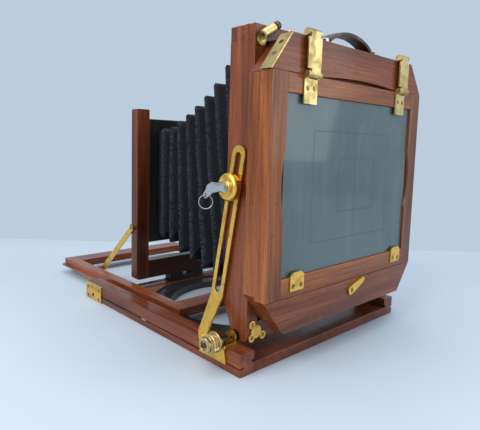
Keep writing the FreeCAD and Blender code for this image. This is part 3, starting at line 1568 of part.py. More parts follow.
make_bed_board()
make_bed_rails()
make_kerf_stops()
bed_screws = make_rail_plates() + make_turntable()
keep(grouped("bed_screws", bed_screws), "bed_screws")
make_extension()
make_front_standard()
make_extension_pins()
make_front_panels()
make_lens()
make_front_struts()
make_bellows()
make_rear_body()
make_corner_plates()
make_back_catch()
make_handle()
make_brackets()
make_pivots()
make_stays()
make_upper_knobs()
make_ring_tab()
make_reversing_back()
make_glass_frame()
glass_screws = make_glass_clips() + make_hinges()
keep(grouped("glass_screws", glass_screws), "glass_screws")
back_screws = [make_turn_button(), make_corner_keeper()]
keep(grouped("back_screws", back_screws), "back_screws")

# ---------------------------------------------------------------------------------------------
# check and export
# ---------------------------------------------------------------------------------------------

doc.recompute()

faults = []
for obj in doc.Objects:
    if "Invalid" in obj.State or "Error" in obj.State:
        faults.append(f"{obj.Label}: {obj.State}")
for obj in subparts:
    if obj.Shape.isNull() or not obj.Shape.isValid():
        faults.append(f"{obj.Label}: null or invalid shape")
if faults:
    raise RuntimeError("; ".join(faults))

os.makedirs("parts", exist_ok=True)
for obj in subparts:
    obj.Shape.exportStep(f"parts/{obj.Label}.step")
print(f"{len(subparts)} sub-parts written")
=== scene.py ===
import math

import bmesh
import bpy
from mathutils import Matrix, Vector, noise


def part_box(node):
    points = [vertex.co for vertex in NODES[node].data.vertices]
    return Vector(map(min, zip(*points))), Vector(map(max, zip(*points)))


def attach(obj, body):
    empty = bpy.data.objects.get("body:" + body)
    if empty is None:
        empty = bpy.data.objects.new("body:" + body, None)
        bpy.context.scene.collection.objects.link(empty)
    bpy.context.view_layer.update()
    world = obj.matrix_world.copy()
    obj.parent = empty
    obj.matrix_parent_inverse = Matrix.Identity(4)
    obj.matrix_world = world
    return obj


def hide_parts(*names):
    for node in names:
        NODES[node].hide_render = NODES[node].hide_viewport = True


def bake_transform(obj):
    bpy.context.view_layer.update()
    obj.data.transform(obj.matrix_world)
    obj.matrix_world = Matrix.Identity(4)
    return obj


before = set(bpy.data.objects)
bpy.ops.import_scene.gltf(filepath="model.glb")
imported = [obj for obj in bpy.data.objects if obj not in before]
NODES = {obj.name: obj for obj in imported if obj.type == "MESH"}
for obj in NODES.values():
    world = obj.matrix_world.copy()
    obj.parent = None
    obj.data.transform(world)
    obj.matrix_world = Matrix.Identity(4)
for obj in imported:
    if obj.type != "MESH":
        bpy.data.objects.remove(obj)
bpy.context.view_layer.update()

# Looks of the wooden field view camera: procedural materials on every node, and modelled leather, bellows,
# knurled knobs, split ring and pencil lines in place of the plain solids. Lengths are in metres.

MM = 0.001


# ---------------------------------------------------------------------------------------------
# shader helpers
# ---------------------------------------------------------------------------------------------

class Shader:
    """A node material being built. Patterns are placed in the object's own metres."""

    def __init__(self, name):
        self.material = bpy.data.materials.new(name)
        self.material.use_nodes = True
        self.tree = self.material.node_tree
        self.surface = self.tree.nodes["Principled BSDF"]
        self.place = self.add("ShaderNodeTexCoord").outputs["Object"]

    def add(self, kind, **settings):
        node = self.tree.nodes.new(kind)
        for key, value in settings.items():
            setattr(node, key, value)
        return node

    def feed(self, socket, value):
        """Link an output to the socket, or set the socket to a constant."""
        if isinstance(value, bpy.types.NodeSocket):
            self.tree.links.new(value, socket)
        else:
            socket.default_value = value

    def set(self, **constants):
        """Constants on the shader's own sockets, named with _ for a space."""
        for key, value in constants.items():
            self.surface.inputs[key.replace("_", " ")].default_value = value

    def mapped(self, scale, offset=0.0):
        mapping = self.add("ShaderNodeMapping")
        self.feed(mapping.inputs["Vector"], self.place)
        mapping.inputs["Scale"].default_value = scale
        mapping.inputs["Location"].default_value = (offset, offset * 0.7, offset * 1.3)
        return mapping.outputs["Vector"]

    def noise(self, scale, detail=3.0, distortion=0.0, offset=0.0):
        """Noise from 0 to 1. Scale is in features per metre along X, Y and Z."""
        texture = self.add("ShaderNodeTexNoise")
        self.feed(texture.inputs["Vector"], self.mapped(scale, offset))
        texture.inputs["Scale"].default_value = 1.0
        texture.inputs["Detail"].default_value = detail
        texture.inputs["Distortion"].default_value = distortion
        return texture.outputs["Fac"]

    def cells(self, scale):
        """Distance to the nearest cell point."""
        texture = self.add("ShaderNodeTexVoronoi", feature="F1")
        self.feed(texture.inputs["Vector"], self.mapped((scale, scale, scale)))
        texture.inputs["Scale"].default_value = 1.0
        return texture.outputs["Distance"]

    def ramp(self, factor, stops):
        """Colour ramp. Each stop is (position, colour)."""
        node = self.add("ShaderNodeValToRGB")
        elements = node.color_ramp.elements
        while len(elements) < len(stops):
            elements.new(0.5)
        for element, (position, colour) in zip(elements, stops):
            element.position = position
            element.color = (*colour, 1.0)
        self.feed(node.inputs["Fac"], factor)
        return node.outputs["Color"]

    def level(self, factor, low, high, start=0.0, end=1.0):
        """Map the factor's range low..high to start..end, clamped."""
        node = self.add("ShaderNodeMapRange")
        self.feed(node.inputs["Value"], factor)
        for socket, value in zip(("From Min", "From Max", "To Min", "To Max"), (low, high, start, end)):
            node.inputs[socket].default_value = value
        return node.outputs["Result"]

    def maths(self, operation, first, second):
        node = self.add("ShaderNodeMath", operation=operation)
        self.feed(node.inputs[0], first)
        self.feed(node.inputs[1], second)
        return node.outputs["Value"]

    def mix(self, factor, first, second, blend="MIX"):
        node = self.add("ShaderNodeMix", data_type="RGBA", blend_type=blend)
        self.feed(node.inputs[0], factor)
        for socket, value in ((node.inputs[6], first), (node.inputs[7], second)):
            self.feed(socket, value if isinstance(value, bpy.types.NodeSocket) else (*value, 1.0))
        return node.outputs[2]

    def bump(self, *layers):
        """Bump layers, each (height, strength, distance in metres), stacked on the surface."""
        normal = None
        for height, strength, distance in layers:
            node = self.add("ShaderNodeBump")
            node.inputs["Strength"].default_value = strength
            node.inputs["Distance"].default_value = distance
            self.feed(node.inputs["Height"], height)
            if normal:
                self.feed(node.inputs["Normal"], normal)
            normal = node.outputs["Normal"]
        self.feed(self.surface.inputs["Normal"], normal)

    def edge_wear(self, radius):
        """1 along sharp edges and 0 on flats."""
        rounded = self.add("ShaderNodeBevel", samples=4)
        rounded.inputs["Radius"].default_value = radius
        flat = self.add("ShaderNodeNewGeometry")
        dot = self.add("ShaderNodeVectorMath", operation="DOT_PRODUCT")
        self.feed(dot.inputs[0], rounded.outputs["Normal"])
        self.feed(dot.inputs[1], flat.outputs["Normal"])
        return self.level(dot.outputs["Value"], 0.995, 0.80)

    def finish(self, colour, roughness):
        self.feed(self.surface.inputs["Base Color"], colour)
        self.feed(self.surface.inputs["Roughness"], roughness)
        return self.material


# ---------------------------------------------------------------------------------------------
# materials
# ---------------------------------------------------------------------------------------------

DARK_MAHOGANY = ((0.052, 0.010, 0.004), (0.135, 0.030, 0.009), (0.235, 0.064, 0.020))
DEEP_MAHOGANY = ((0.018, 0.006, 0.004), (0.042, 0.012, 0.006), (0.085, 0.025, 0.010))
AMBER_MAHOGANY = ((0.095, 0.022, 0.005), (0.225, 0.062, 0.013), (0.360, 0.120, 0.030))
WARM_MAHOGANY = ((0.075, 0.014, 0.004), (0.185, 0.042, 0.011), (0.310, 0.092, 0.027))
PALE_WOOD = ((0.22, 0.11, 0.05), (0.36, 0.20, 0.10), (0.46, 0.28, 0.15))
EBONISED = ((0.008, 0.007, 0.006), (0.014, 0.012, 0.011), (0.026, 0.022, 0.020))


def wood(name, grain, shades, gloss, seed):
    """Polished open-pored hardwood. Grain is the axis, 0 to 2, that the fibres follow."""

    def along(across, lengthways):
        return tuple(lengthways if axis == grain else across for axis in range(3))

    shader = Shader(name)
    figure = shader.noise(along(42, 3.0), detail=5.0, distortion=0.9, offset=seed)
    fibre = shader.noise(along(620, 16), detail=4.0, offset=seed + 3)
    ribbon = shader.noise(along(16, 2.0), detail=2.0, offset=seed + 7)
    pores = shader.noise(along(2100, 150), detail=2.0, offset=seed + 11)
    handling = shader.noise((26, 26, 26), detail=4.0, offset=seed + 17)

    mixed = shader.maths("ADD", shader.maths("MULTIPLY", figure, 0.62), shader.maths("MULTIPLY", fibre, 0.38))
    dark, middle, light = shades
    colour = shader.ramp(mixed, [(0.34, dark), (0.50, middle), (0.66, light)])
    ribbon_tone = shader.ramp(ribbon, [(0.35, (0.72, 0.68, 0.66)), (0.65, (1.18, 1.15, 1.10))])
    colour = shader.mix(0.8, colour, ribbon_tone, "MULTIPLY")
    pore_mask = shader.level(pores, 0.62, 0.72)
    colour = shader.mix(pore_mask, colour, tuple(channel * 0.35 for channel in dark))
    worn = shader.maths("MULTIPLY", shader.edge_wear(0.9 * MM), shader.level(handling, 0.42, 0.62))
    pale = tuple(min(1.0, channel * 1.75 + 0.015) for channel in light)
    colour = shader.mix(shader.maths("MULTIPLY", worn, 0.7), colour, pale)

    scuffs = shader.level(handling, 0.35, 0.75, 0.30, 0.50)
    shader.bump((pore_mask, 0.25, -0.05 * MM), (fibre, 0.10, 0.06 * MM), (figure, 0.10, 0.5 * MM))
    shader.set(Coat_Weight=gloss, Coat_Roughness=0.14, Specular_IOR_Level=0.18, Coat_IOR=1.38)
    return shader.finish(colour, scuffs)


def metal(name, bright, tarnish, roughness=(0.20, 0.42), patina=0.5, seed=0.0):
    """Old metal: cloudy tarnish, small spots, drawn lines and brighter rubbed edges."""
    shader = Shader(name)
    clouds = shader.noise((95, 95, 95), detail=5.0, distortion=0.4, offset=seed)
    spots = shader.noise((900, 900, 900), detail=2.0, offset=seed + 5)
    lines = shader.noise((260, 2600, 260), detail=2.0, offset=seed + 9)
    edge = shader.edge_wear(0.6 * MM)
    mask = shader.level(clouds, 0.62 - 0.3 * patina, 0.80 - 0.2 * patina)
    colour = shader.mix(mask, bright, tarnish)
    spot_mask = shader.maths("MULTIPLY", shader.level(spots, 0.64, 0.72), 0.55)
    colour = shader.mix(spot_mask, colour, tuple(channel * 0.6 for channel in tarnish))
    rubbed = tuple(min(1.0, channel * 1.12) for channel in bright)
    colour = shader.mix(shader.maths("MULTIPLY", edge, 0.6), colour, rubbed)
    low, high = roughness
    cloud_roughness = shader.level(clouds, 0.3, 0.75, low, high)
    spot_roughness = shader.level(spots, 0.55, 0.8, 0, 0.1)
    rough = shader.maths("ADD", cloud_roughness, spot_roughness)
    shader.bump((lines, 0.10, 0.03 * MM), (spots, 0.12, 0.04 * MM), (clouds, 0.08, 0.3 * MM))
    shader.set(Metallic=1.0)
    return shader.finish(colour, rough)


def lacquered_metal(name):
    """Black lacquer on metal, with brass grinning through at the rubbed edges."""
    shader = Shader(name)
    clouds = shader.noise((60, 60, 60), detail=4.0)
    grain = shader.noise((1400, 1400, 1400), detail=2.0)
    rubbed = shader.maths("MULTIPLY", shader.edge_wear(0.7 * MM), shader.level(clouds, 0.48, 0.60))
    base = shader.ramp(clouds, [(0.3, (0.010, 0.010, 0.011)), (0.7, (0.030, 0.029, 0.030))])
    colour = shader.mix(rubbed, base, (0.42, 0.30, 0.12))
    shader.feed(shader.surface.inputs["Metallic"], rubbed)
    shader.bump((grain, 0.12, 0.04 * MM))
    shader.set(Coat_Weight=0.3, Coat_Roughness=0.2)
    return shader.finish(colour, shader.level(clouds, 0.3, 0.7, 0.28, 0.45))


def bellows_leather():
    """Thin black leather, greyed along the pleats' ridges: partly rubbed wear, partly a painted highlight on
    the ridge bands.
    """
    shader = Shader("bellows_leather")
    ridge = shader.add("ShaderNodeAttribute", attribute_name="ridge").outputs["Fac"]
    pebbles = shader.cells(1500)
    creases = shader.noise((420, 420, 420), detail=4.0, distortion=0.5)
    dust = shader.noise((38, 38, 38), detail=4.0)
    base = shader.ramp(dust, [(0.3, (0.0016, 0.0020, 0.0036)), (0.7, (0.0042, 0.0050, 0.0080))])
    # Ridge crests lightened in colour: partly rubbed wear, partly a painted highlight where light falls on
    # the outer pleat bands.
    ridge_wear_and_highlight = shader.maths("MULTIPLY", shader.level(ridge, 0.55, 1.0), shader.level(creases, 0.35, 0.65))
    colour = shader.mix(ridge_wear_and_highlight, base, (0.048, 0.052, 0.062))
    shader.bump((pebbles, 0.35, 0.10 * MM), (creases, 0.35, 0.25 * MM))
    shader.set(Specular_IOR_Level=0.10)
    return shader.finish(colour, shader.level(dust, 0.3, 0.7, 0.50, 0.68))


def strap_leather():
    """Dark brown strap leather with rubbed, lighter high spots."""
    shader = Shader("strap_leather")
    pebbles = shader.cells(900)
    creases = shader.noise((160, 420, 420), detail=5.0, distortion=0.8)
    wear = shader.noise((70, 70, 70), detail=4.0)
    base = shader.ramp(creases, [(0.3, (0.018, 0.007, 0.005)), (0.7, (0.062, 0.025, 0.016))])
    colour = shader.mix(shader.level(wear, 0.52, 0.72), base, (0.130, 0.060, 0.036))
    shader.bump((pebbles, 0.30, 0.14 * MM), (creases, 0.45, 0.35 * MM))
    shader.set(Specular_IOR_Level=0.45, Coat_Weight=0.12, Coat_Roughness=0.35)
    return shader.finish(colour, shader.level(wear, 0.3, 0.7, 0.58, 0.36))


def thread():
    """Waxed linen thread."""
    shader = Shader("waxed_thread")
    twist = shader.noise((3000, 3000, 900), detail=2.0)
    colour = shader.ramp(twist, [(0.3, (0.10, 0.07, 0.05)), (0.7, (0.24, 0.18, 0.12))])
    shader.bump((twist, 0.4, 0.08 * MM))
    return shader.finish(colour, shader.level(twist, 0.3, 0.7, 0.55, 0.75))


def ground_glass():
    """Finely ground glass over the dark camera: grey-green, with a soft sheen and a clean outer gloss."""
    shader = Shader("ground_glass")
    grit = shader.noise((5200, 5200, 5200), detail=2.0)
    haze = shader.noise((7, 7, 7), detail=3.0)
    smears = shader.noise((60, 60, 14), detail=4.0, distortion=0.7)
    colour = shader.ramp(haze, [(0.35, (0.034, 0.060, 0.062)), (0.65, (0.062, 0.098, 0.098))])
    colour = shader.mix(shader.level(smears, 0.50, 0.75, 0.0, 0.35), colour, (0.120, 0.155, 0.158))
    shader.bump((grit, 0.10, 0.02 * MM))
    shader.set(Coat_Weight=0.55, Coat_Roughness=0.06, Coat_IOR=1.5, Specular_IOR_Level=0.5)
    return shader.finish(colour, shader.level(smears, 0.3, 0.7, 0.34, 0.48))


def lens_glass():
    """Clear glass with a faint dust film."""
    shader = Shader("lens_glass")
    dust = shader.noise((700, 700, 700), detail=3.0)
    colour = shader.ramp(dust, [(0.4, (0.86, 0.92, 0.95)), (0.8, (0.70, 0.76, 0.80))])
    shader.set(Transmission_Weight=0.95, IOR=1.52)
    return shader.finish(colour, shader.level(dust, 0.5, 0.8, 0.01, 0.12))


def pencil():
    """Soft graphite line."""
    shader = Shader("graphite")
    tooth = shader.noise((1800, 1800, 1800), detail=2.0)
    colour = shader.ramp(tooth, [(0.35, (0.020, 0.026, 0.028)), (0.7, (0.060, 0.075, 0.078))])
    return shader.finish(colour, shader.level(tooth, 0.3, 0.7, 0.35, 0.55))


def table_top():
    """Pale matt table."""
    shader = Shader("table_top")
    mottle = shader.noise((5, 5, 5), detail=3.0)
    colour = shader.ramp(mottle, [(0.3, (0.49, 0.545, 0.605)), (0.7, (0.52, 0.57, 0.63))])
    return shader.finish(colour, shader.level(mottle, 0.3, 0.7, 0.55, 0.65))


BRIGHT_BRASS = (0.88, 0.52, 0.10)
OLD_BRASS = (0.46, 0.25, 0.06)

MATERIALS = {
    "brass": metal("brass", BRIGHT_BRASS, OLD_BRASS, patina=0.4),
    "hinge_brass": metal("hinge_brass", (0.72, 0.53, 0.22), (0.36, 0.26, 0.10), (0.24, 0.46), 0.7, 21.0),
    "knob_brass": metal("knob_brass", (0.70, 0.52, 0.24), (0.28, 0.19, 0.09), (0.24, 0.44), 0.75, 31.0),
    "screw_brass": metal("screw_brass", (0.42, 0.27, 0.10), (0.14, 0.09, 0.04), (0.28, 0.50), 0.7, 61.0),
    "dark_brass": metal("dark_brass", (0.16, 0.12, 0.08), (0.045, 0.035, 0.028), (0.30, 0.52), 0.7, 41.0),
    "steel": metal("steel", (0.62, 0.61, 0.58), (0.30, 0.27, 0.24), (0.22, 0.44), 0.5, 51.0),
    "black_metal": lacquered_metal("black_metal"),
    "bellows": bellows_leather(),
    "strap": strap_leather(),
    "thread": thread(),
    "ground_glass": ground_glass(),
    "lens_glass": lens_glass(),
    "graphite": pencil(),
}

ALONG_X, ALONG_Y, ALONG_Z = 0, 1, 2
WOODS = {
    # node: grain axis, shades, gloss
    "bed_board": (ALONG_Y, DARK_MAHOGANY, 0.35),
    "bed_rails": (ALONG_Y, DARK_MAHOGANY, 0.45),
    "extension_rails": (ALONG_Y, WARM_MAHOGANY, 0.45),
    "extension_cross_rails": (ALONG_X, WARM_MAHOGANY, 0.45),
    "front_posts": (ALONG_Z, DARK_MAHOGANY, 0.50),
    "front_sill": (ALONG_X, DEEP_MAHOGANY, 0.40),
    "lens_panel": (ALONG_Z, WARM_MAHOGANY, 0.50),
    "body_side_left": (ALONG_Z, WARM_MAHOGANY, 0.60),
    "body_side_right": (ALONG_Z, WARM_MAHOGANY, 0.60),
    "body_top": (ALONG_X, DARK_MAHOGANY, 0.50),
    "body_sill": (ALONG_X, DARK_MAHOGANY, 0.45),
    "back_rails": (ALONG_X, DARK_MAHOGANY, 0.50),
    "back_stiles": (ALONG_Z, AMBER_MAHOGANY, 0.50),
    "back_blocks": (ALONG_X, WARM_MAHOGANY, 0.50),
    "glass_stiles": (ALONG_Z, AMBER_MAHOGANY, 0.55),
    "glass_rails": (ALONG_X, AMBER_MAHOGANY, 0.55),
    "foot_block": (ALONG_X, EBONISED, 0.25),
    "bellows_board": (ALONG_Z, EBONISED, 0.15),
    "bellows_rear_board": (ALONG_Z, EBONISED, 0.10),
    "kerf_stops": (ALONG_Y, PALE_WOOD, 0.20),
}
METALS = {
    "brass": (
        "rail_plates", "front_strut_left", "front_strut_right", "side_brackets", "stay_left",
        "stay_right", "corner_plates", "lens_flange", "lens_barrel", "turn_button", "glass_clips",
        "handle_rivets",
    ),
    "screw_brass": (
        "bed_screws", "strut_screws", "corner_plate_screws", "lens_flange_screws", "back_screws",
        "glass_screws",
    ),
    "hinge_brass": ("hinge_straps", "top_leaves", "glass_leaves", "corner_keeper", "catch_barrel"),
    "dark_brass": ("iris_ring", "catch_bolt", "pivot_studs"),
    "steel": ("extension_pins", "upper_studs", "ring_tab"),
    "black_metal": ("turntable_ring", "turntable_clips"),
    "ground_glass": ("ground_glass",),
    "lens_glass": ("lens_glasses",),
}
CRISP_EDGE = 0.35 * MM
WOOD_EDGE = 0.7 * MM


def soften(node, width):
    """Round a CAD node's sharp edges a little, so that they catch the light."""
    weld = node.modifiers.new("weld", "WELD")
    weld.merge_threshold = 0.001 * MM
    bevel = node.modifiers.new("soft_edges", "BEVEL")
    bevel.width = width
    bevel.segments = 2
    bevel.limit_method = "ANGLE"
    bevel.angle_limit = math.radians(50)


def coat(node, material):
    """Give all the node's material slots one material."""
    for slot in node.material_slots:
        slot.link = "OBJECT"
        slot.material = material


def finish_wood():
    for number, (name, (grain, shades, gloss)) in enumerate(WOODS.items()):
        coat(NODES[name], wood(f"wood_{name}", grain, shades, gloss, seed=number * 4.7))
        soften(NODES[name], WOOD_EDGE if shades is not PALE_WOOD else CRISP_EDGE)


def finish_metal_and_glass():
    for material, names in METALS.items():
        for name in names:
            coat(NODES[name], MATERIALS[material])


# ---------------------------------------------------------------------------------------------
# mesh helpers
# ---------------------------------------------------------------------------------------------

def piece(name, vertices, faces, material, smooth=True):
    """A mesh object placed in the part's own frame."""
    mesh = bpy.data.meshes.new(name)
    mesh.from_pydata([tuple(vertex) for vertex in vertices], [], faces)
    mesh.validate()
    for polygon in mesh.polygons:
        polygon.use_smooth = smooth
    obj = bpy.data.objects.new(name, mesh)
    bpy.context.scene.collection.objects.link(obj)
    obj.data.materials.append(material)
    return obj


def grid_faces(rows, columns, closed_rows=False):
    """Quads of a grid of rows by columns. Columns wrap round; rows wrap only if closed."""
    faces = []
    for row in range(rows if closed_rows else rows - 1):
        following = (row + 1) % rows
        for column in range(columns):
            beside = (column + 1) % columns
            faces.append(
                (row * columns + column, row * columns + beside, following * columns + beside,
                 following * columns + column)
            )
    return faces


def swept(name, stations, section, material):
    """A section of (u, v) points swept along stations of (centre, u axis, v axis), with closed ends."""
    vertices = [
        centre + across * u + up * v for centre, across, up in stations for u, v in section
    ]
    columns = len(section)
    faces = grid_faces(len(stations), columns)
    faces.append(tuple(range(columns))[::-1])
    faces.append(tuple(range(len(vertices) - columns, len(vertices))))
    return piece(name, vertices, faces, material)


def sharpen(obj, degrees):
    """Keep edges sharper than the angle crisp under smooth shading."""
    obj.data.set_sharp_from_angle(angle=math.radians(degrees))


# ---------------------------------------------------------------------------------------------
# bellows
# ---------------------------------------------------------------------------------------------

# Lengths of the bellows are in millimetres until bellows_ring() ends.
RIDGE_TOPS = (224, 226, 233, 240, 249, 259, 270, 286, 291)
RIDGE_BOTTOMS = (79, 78, 70, 65, 63, 61, 58, 54, 50)
FIRST_RIDGE_Y, RIDGE_PITCH = -94, 22
FRONT_Y, REAR_Y = -111.8, 94.8
FRONT_HALF, REAR_HALF = 58, 93
FOLD_DEPTH = 9.0
PLAIN_CUT, PINCH = 3.0, 11.0
LEAN = 170
WANDER, SIDEWAYS_WANDER, SAG = 1.3, 1.5, 0.6
WANDER_FINENESS = 0.028
SIDE_STEPS = 7
FOLD_STEPS = 3
STRETCHES = (
    # bodies at the front and rear ends, y of both ends
    ("extension", "bed", FRONT_Y, 15.0),
    ("bed", "rear_carriage", 15.0, 50.0),
    ("rear_carriage", "rear_body", 50.0, REAR_Y),
)


def bellows_folds():
    """Each fold from front to rear: its place counted in ridges, y, inset, corner cut and ridge weight, which
    lightens the leather as ridge wear and as a painted ridge highlight.
    """
    last = len(RIDGE_TOPS) - 1
    folds = [(0, FRONT_Y, 4.0, PLAIN_CUT, 0.4)]
    for index in range(last + 1):
        y = FIRST_RIDGE_Y + RIDGE_PITCH * index
        folds.append((index, y, 0.0, 2.5, 1.0))
        if index < last:
            cut = PLAIN_CUT + PINCH * (index % 2)
            folds.append((index + 0.5, y + RIDGE_PITCH / 2, FOLD_DEPTH, cut, 0.0))
    folds.append((last, REAR_Y, 6.0, PLAIN_CUT, 0.4))
    return folds


def height_at(heights, place):
    """The height between two ridges, at a place counted in ridges."""
    index = min(int(place), len(heights) - 2)
    return heights[index] + (heights[index + 1] - heights[index]) * (place - index)


def ring_outline(half, high, low, cut):
    """Points (x, z) round one fold, a rectangle with cut corners."""
    corners = (
        ((half - cut, high), (half, high - cut)),
        ((half, low + cut), (half - cut, low)),
        ((cut - half, low), (-half, low + cut)),
        ((-half, high - cut), (cut - half, high)),
    )
    outline = []
    for number, (entry, leaving) in enumerate(corners):
        following = corners[(number + 1) % 4][0]
        outline.append(entry)
        for step in range(SIDE_STEPS):
            blend = step / SIDE_STEPS
            outline.append(tuple(a + (b - a) * blend for a, b in zip(leaving, following)))
    return outline


def bellows_ring(place, y, inset, cut):
    """Points round the skin. The ring leans back towards the body, and the leather wanders a little."""
    share = (y - FIRST_RIDGE_Y) / (REAR_Y - FIRST_RIDGE_Y)
    lean = LEAN * max(share, 0) ** 2 * (1 - share)
    half = FRONT_HALF + (REAR_HALF - FRONT_HALF) * place / (len(RIDGE_TOPS) - 1) - inset
    high = height_at(RIDGE_TOPS, place) - inset
    low = height_at(RIDGE_BOTTOMS, place) + inset
    freedom = max(0.0, min(1.0, (y - FRONT_Y) / 16, (REAR_Y - y) / 12))
    middle = (high + low) / 2
    points = []
    for x, z in ring_outline(half, high, low, cut):
        spot = Vector((x * WANDER_FINENESS, y * 0.05, z * WANDER_FINENESS))
        pull = 1 - max(0.0, noise.noise(spot)) * WANDER * freedom / half
        sideways = noise.noise(spot + Vector((9, 0, 0))) * SIDEWAYS_WANDER * freedom
        leaning = lean * (high - z) / (high - low)
        point = Vector((x * pull, y + leaning + sideways, middle + (z - middle) * pull))
        points.append(point * MM)
    return points


def bellows_rings():
    """Every ring of the skin from front to rear, each with its ridge weight for rubbed wear and painted
    highlight.
    """
    rings = []
    folds = bellows_folds()
    for fold, following in zip(folds, folds[1:]):
        for step in range(FOLD_STEPS):
            blend = step / FOLD_STEPS
            place, y, inset, cut, ridge = (a + (b - a) * blend for a, b in zip(fold, following))
            sag = SAG * math.sin(math.pi * blend)
            rings.append((bellows_ring(place, y, inset + sag, cut), ridge))
    place, y, inset, cut, ridge = folds[-1]
    rings.append((bellows_ring(place, y, inset, cut), ridge))
    return rings


def bellows_skin():
    """The whole skin as one mesh, cut across where the stretches meet."""
    rings = bellows_rings()
    skin = bmesh.new()
    layer = skin.verts.layers.float.new("ridge")
    corners = []
    for points, ridge in rings:
        for point in points:
            corner = skin.verts.new(point)
            corner[layer] = ridge
            corners.append(corner)
    for face in grid_faces(len(rings), len(rings[0][0])):
        skin.faces.new([corners[index] for index in face])
    for *_, last_y in STRETCHES[:-1]:
        everything = skin.verts[:] + skin.edges[:] + skin.faces[:]
        place = (0, last_y * MM, 0)
        bmesh.ops.bisect_plane(skin, geom=everything, plane_co=place, plane_no=(0, 1, 0))
    return skin, layer


def bellows_pieces():
    """Three stretches that share their end rings, so that no seam opens."""
    skin, layer = bellows_skin()
    for number, (body_a, body_b, first_y, last_y) in enumerate(STRETCHES, start=1):
        first, last = first_y * MM, last_y * MM
        faces = [face for face in skin.faces if first < face.calc_center_median().y < last]
        order = {}
        for face in faces:
            for corner in face.verts:
                order.setdefault(corner, len(order))
        vertices = [corner.co.copy() for corner in order]
        corners = [tuple(order[corner] for corner in face.verts) for face in faces]
        stretch = piece(f"bellows_{number}", vertices, corners, MATERIALS["bellows"])
        # Ridge weight per corner, which the leather turns into rubbed wear and a painted ridge highlight.
        wear = stretch.data.attributes.new("ridge", "FLOAT", "POINT")
        wear.data.foreach_set("value", [corner[layer] for corner in order])
        sharpen(stretch, 24)
        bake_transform(stretch)
        if number == 1:
            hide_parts("bellows")
    skin.free()


# ---------------------------------------------------------------------------------------------
# leather handle
# ---------------------------------------------------------------------------------------------

HUMP_LEFT, HUMP_RIGHT = -3.0 * MM, -87.0 * MM
STITCH_PITCH = 3.4 * MM
STITCH_HALF_SIZE = (1.25 * MM, 0.36 * MM, 0.30 * MM)
ACROSS_STRAP = Vector((0, 1, 0))


class Strap:
    """The handle's strap: its size and its bowed centre line."""

    def __init__(self):
        self.low, self.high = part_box("handle_strap")
        self.thickness = 4.5 * MM
        self.width = self.high.y - self.low.y
        self.middle_y = (self.low.y + self.high.y) / 2
        self.lift = self.high.z - self.low.z - self.thickness
        self.half, self.thick = self.width / 2, self.thickness / 2

    def height(self, x):
        if not HUMP_RIGHT < x < HUMP_LEFT:
            return 0.0
        return self.lift * math.sin(math.pi * (x - HUMP_RIGHT) / (HUMP_LEFT - HUMP_RIGHT)) ** 0.62

    def station(self, x):
        """Centre of the strap at x, the direction along it and the direction out of it."""
        reach = 0.4 * MM
        slope = (self.height(x + reach) - self.height(x - reach)) / (2 * reach)
        along = Vector((1, 0, slope)).normalized()
        outwards = Vector((-along.z, 0, along.x))
        centre = Vector((x, self.middle_y, self.low.z + self.height(x) + self.thickness / 2))
        return centre, along, outwards

    def section(self):
        """Rounded section with a shallow stitching groove along each edge."""
        half, thick = self.half, self.thick
        return [
            (-half, -thick * 0.3), (-half * 0.94, -thick), (half * 0.94, -thick), (half, -thick * 0.3),
            (half, thick * 0.25), (half * 0.93, thick * 0.72), (half * 0.80, thick * 0.70),
            (half * 0.6, thick * 0.9), (0, thick), (-half * 0.6, thick * 0.9),
            (-half * 0.80, thick * 0.70), (-half * 0.93, thick * 0.72), (-half, thick * 0.25),
        ]


def handle_leather(strap):
    """The strap itself, tapered a little at its last three stations."""
    margin = 0.6 * MM
    count = 90
    length = strap.high.x - strap.low.x - 2 * margin
    stations = []
    for step in range(count + 1):
        x = strap.low.x + margin + length * step / count
        centre, _, outwards = strap.station(x)
        end = min(step, count - step)
        taper = (0.86, 0.95, 0.985)[end] if end < 3 else 1.0
        stations.append((centre, ACROSS_STRAP * taper, outwards * (0.8 + 0.2 * min(1, end / 3))))
    leather = swept("handle_leather", stations, strap.section(), MATERIALS["strap"])
    sharpen(leather, 50)
    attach(leather, "rear_body")
    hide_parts("handle_strap")


def handle_stitches(strap):
    """A row of stitches along each edge, in one mesh."""
    stitches = bmesh.new()
    rows = int((strap.high.x - strap.low.x - 8 * MM) / STITCH_PITCH)
    for side in (-1, 1):
        for number in range(rows):
            x = strap.low.x + 4 * MM + STITCH_PITCH * (number + 0.5)
            centre, along, outwards = strap.station(x)
            spot = centre + ACROSS_STRAP * side * strap.half * 0.86 + outwards * strap.thick * 0.74
            turn = Matrix((along, ACROSS_STRAP, outwards)).transposed().to_4x4()
            place = Matrix.Translation(spot) @ turn @ Matrix.Diagonal((*STITCH_HALF_SIZE, 1))
            bmesh.ops.create_icosphere(stitches, subdivisions=2, radius=1.0, matrix=place)
    mesh = bpy.data.meshes.new("handle_stitches")
    stitches.to_mesh(mesh)
    stitches.free()
    seam = bpy.data.objects.new("handle_stitches", mesh)
    bpy.context.scene.collection.objects.link(seam)
    mesh.materials.append(MATERIALS["thread"])
    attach(seam, "rear_body")


def handle_pieces():
    """Strap with a bowed grip, two rows of stitches and a metal keeper at each tab."""
    strap = Strap()
    handle_leather(strap)
    handle_stitches(strap)
    for name, x in (("left", HUMP_LEFT + 5 * MM), ("right", HUMP_RIGHT - 5 * MM)):
        foot = Vector((x, strap.middle_y, strap.low.z))
        make_keeper(f"handle_keeper_{name}", foot, strap.half + 1.2 * MM, strap.thickness + 1.0 * MM)


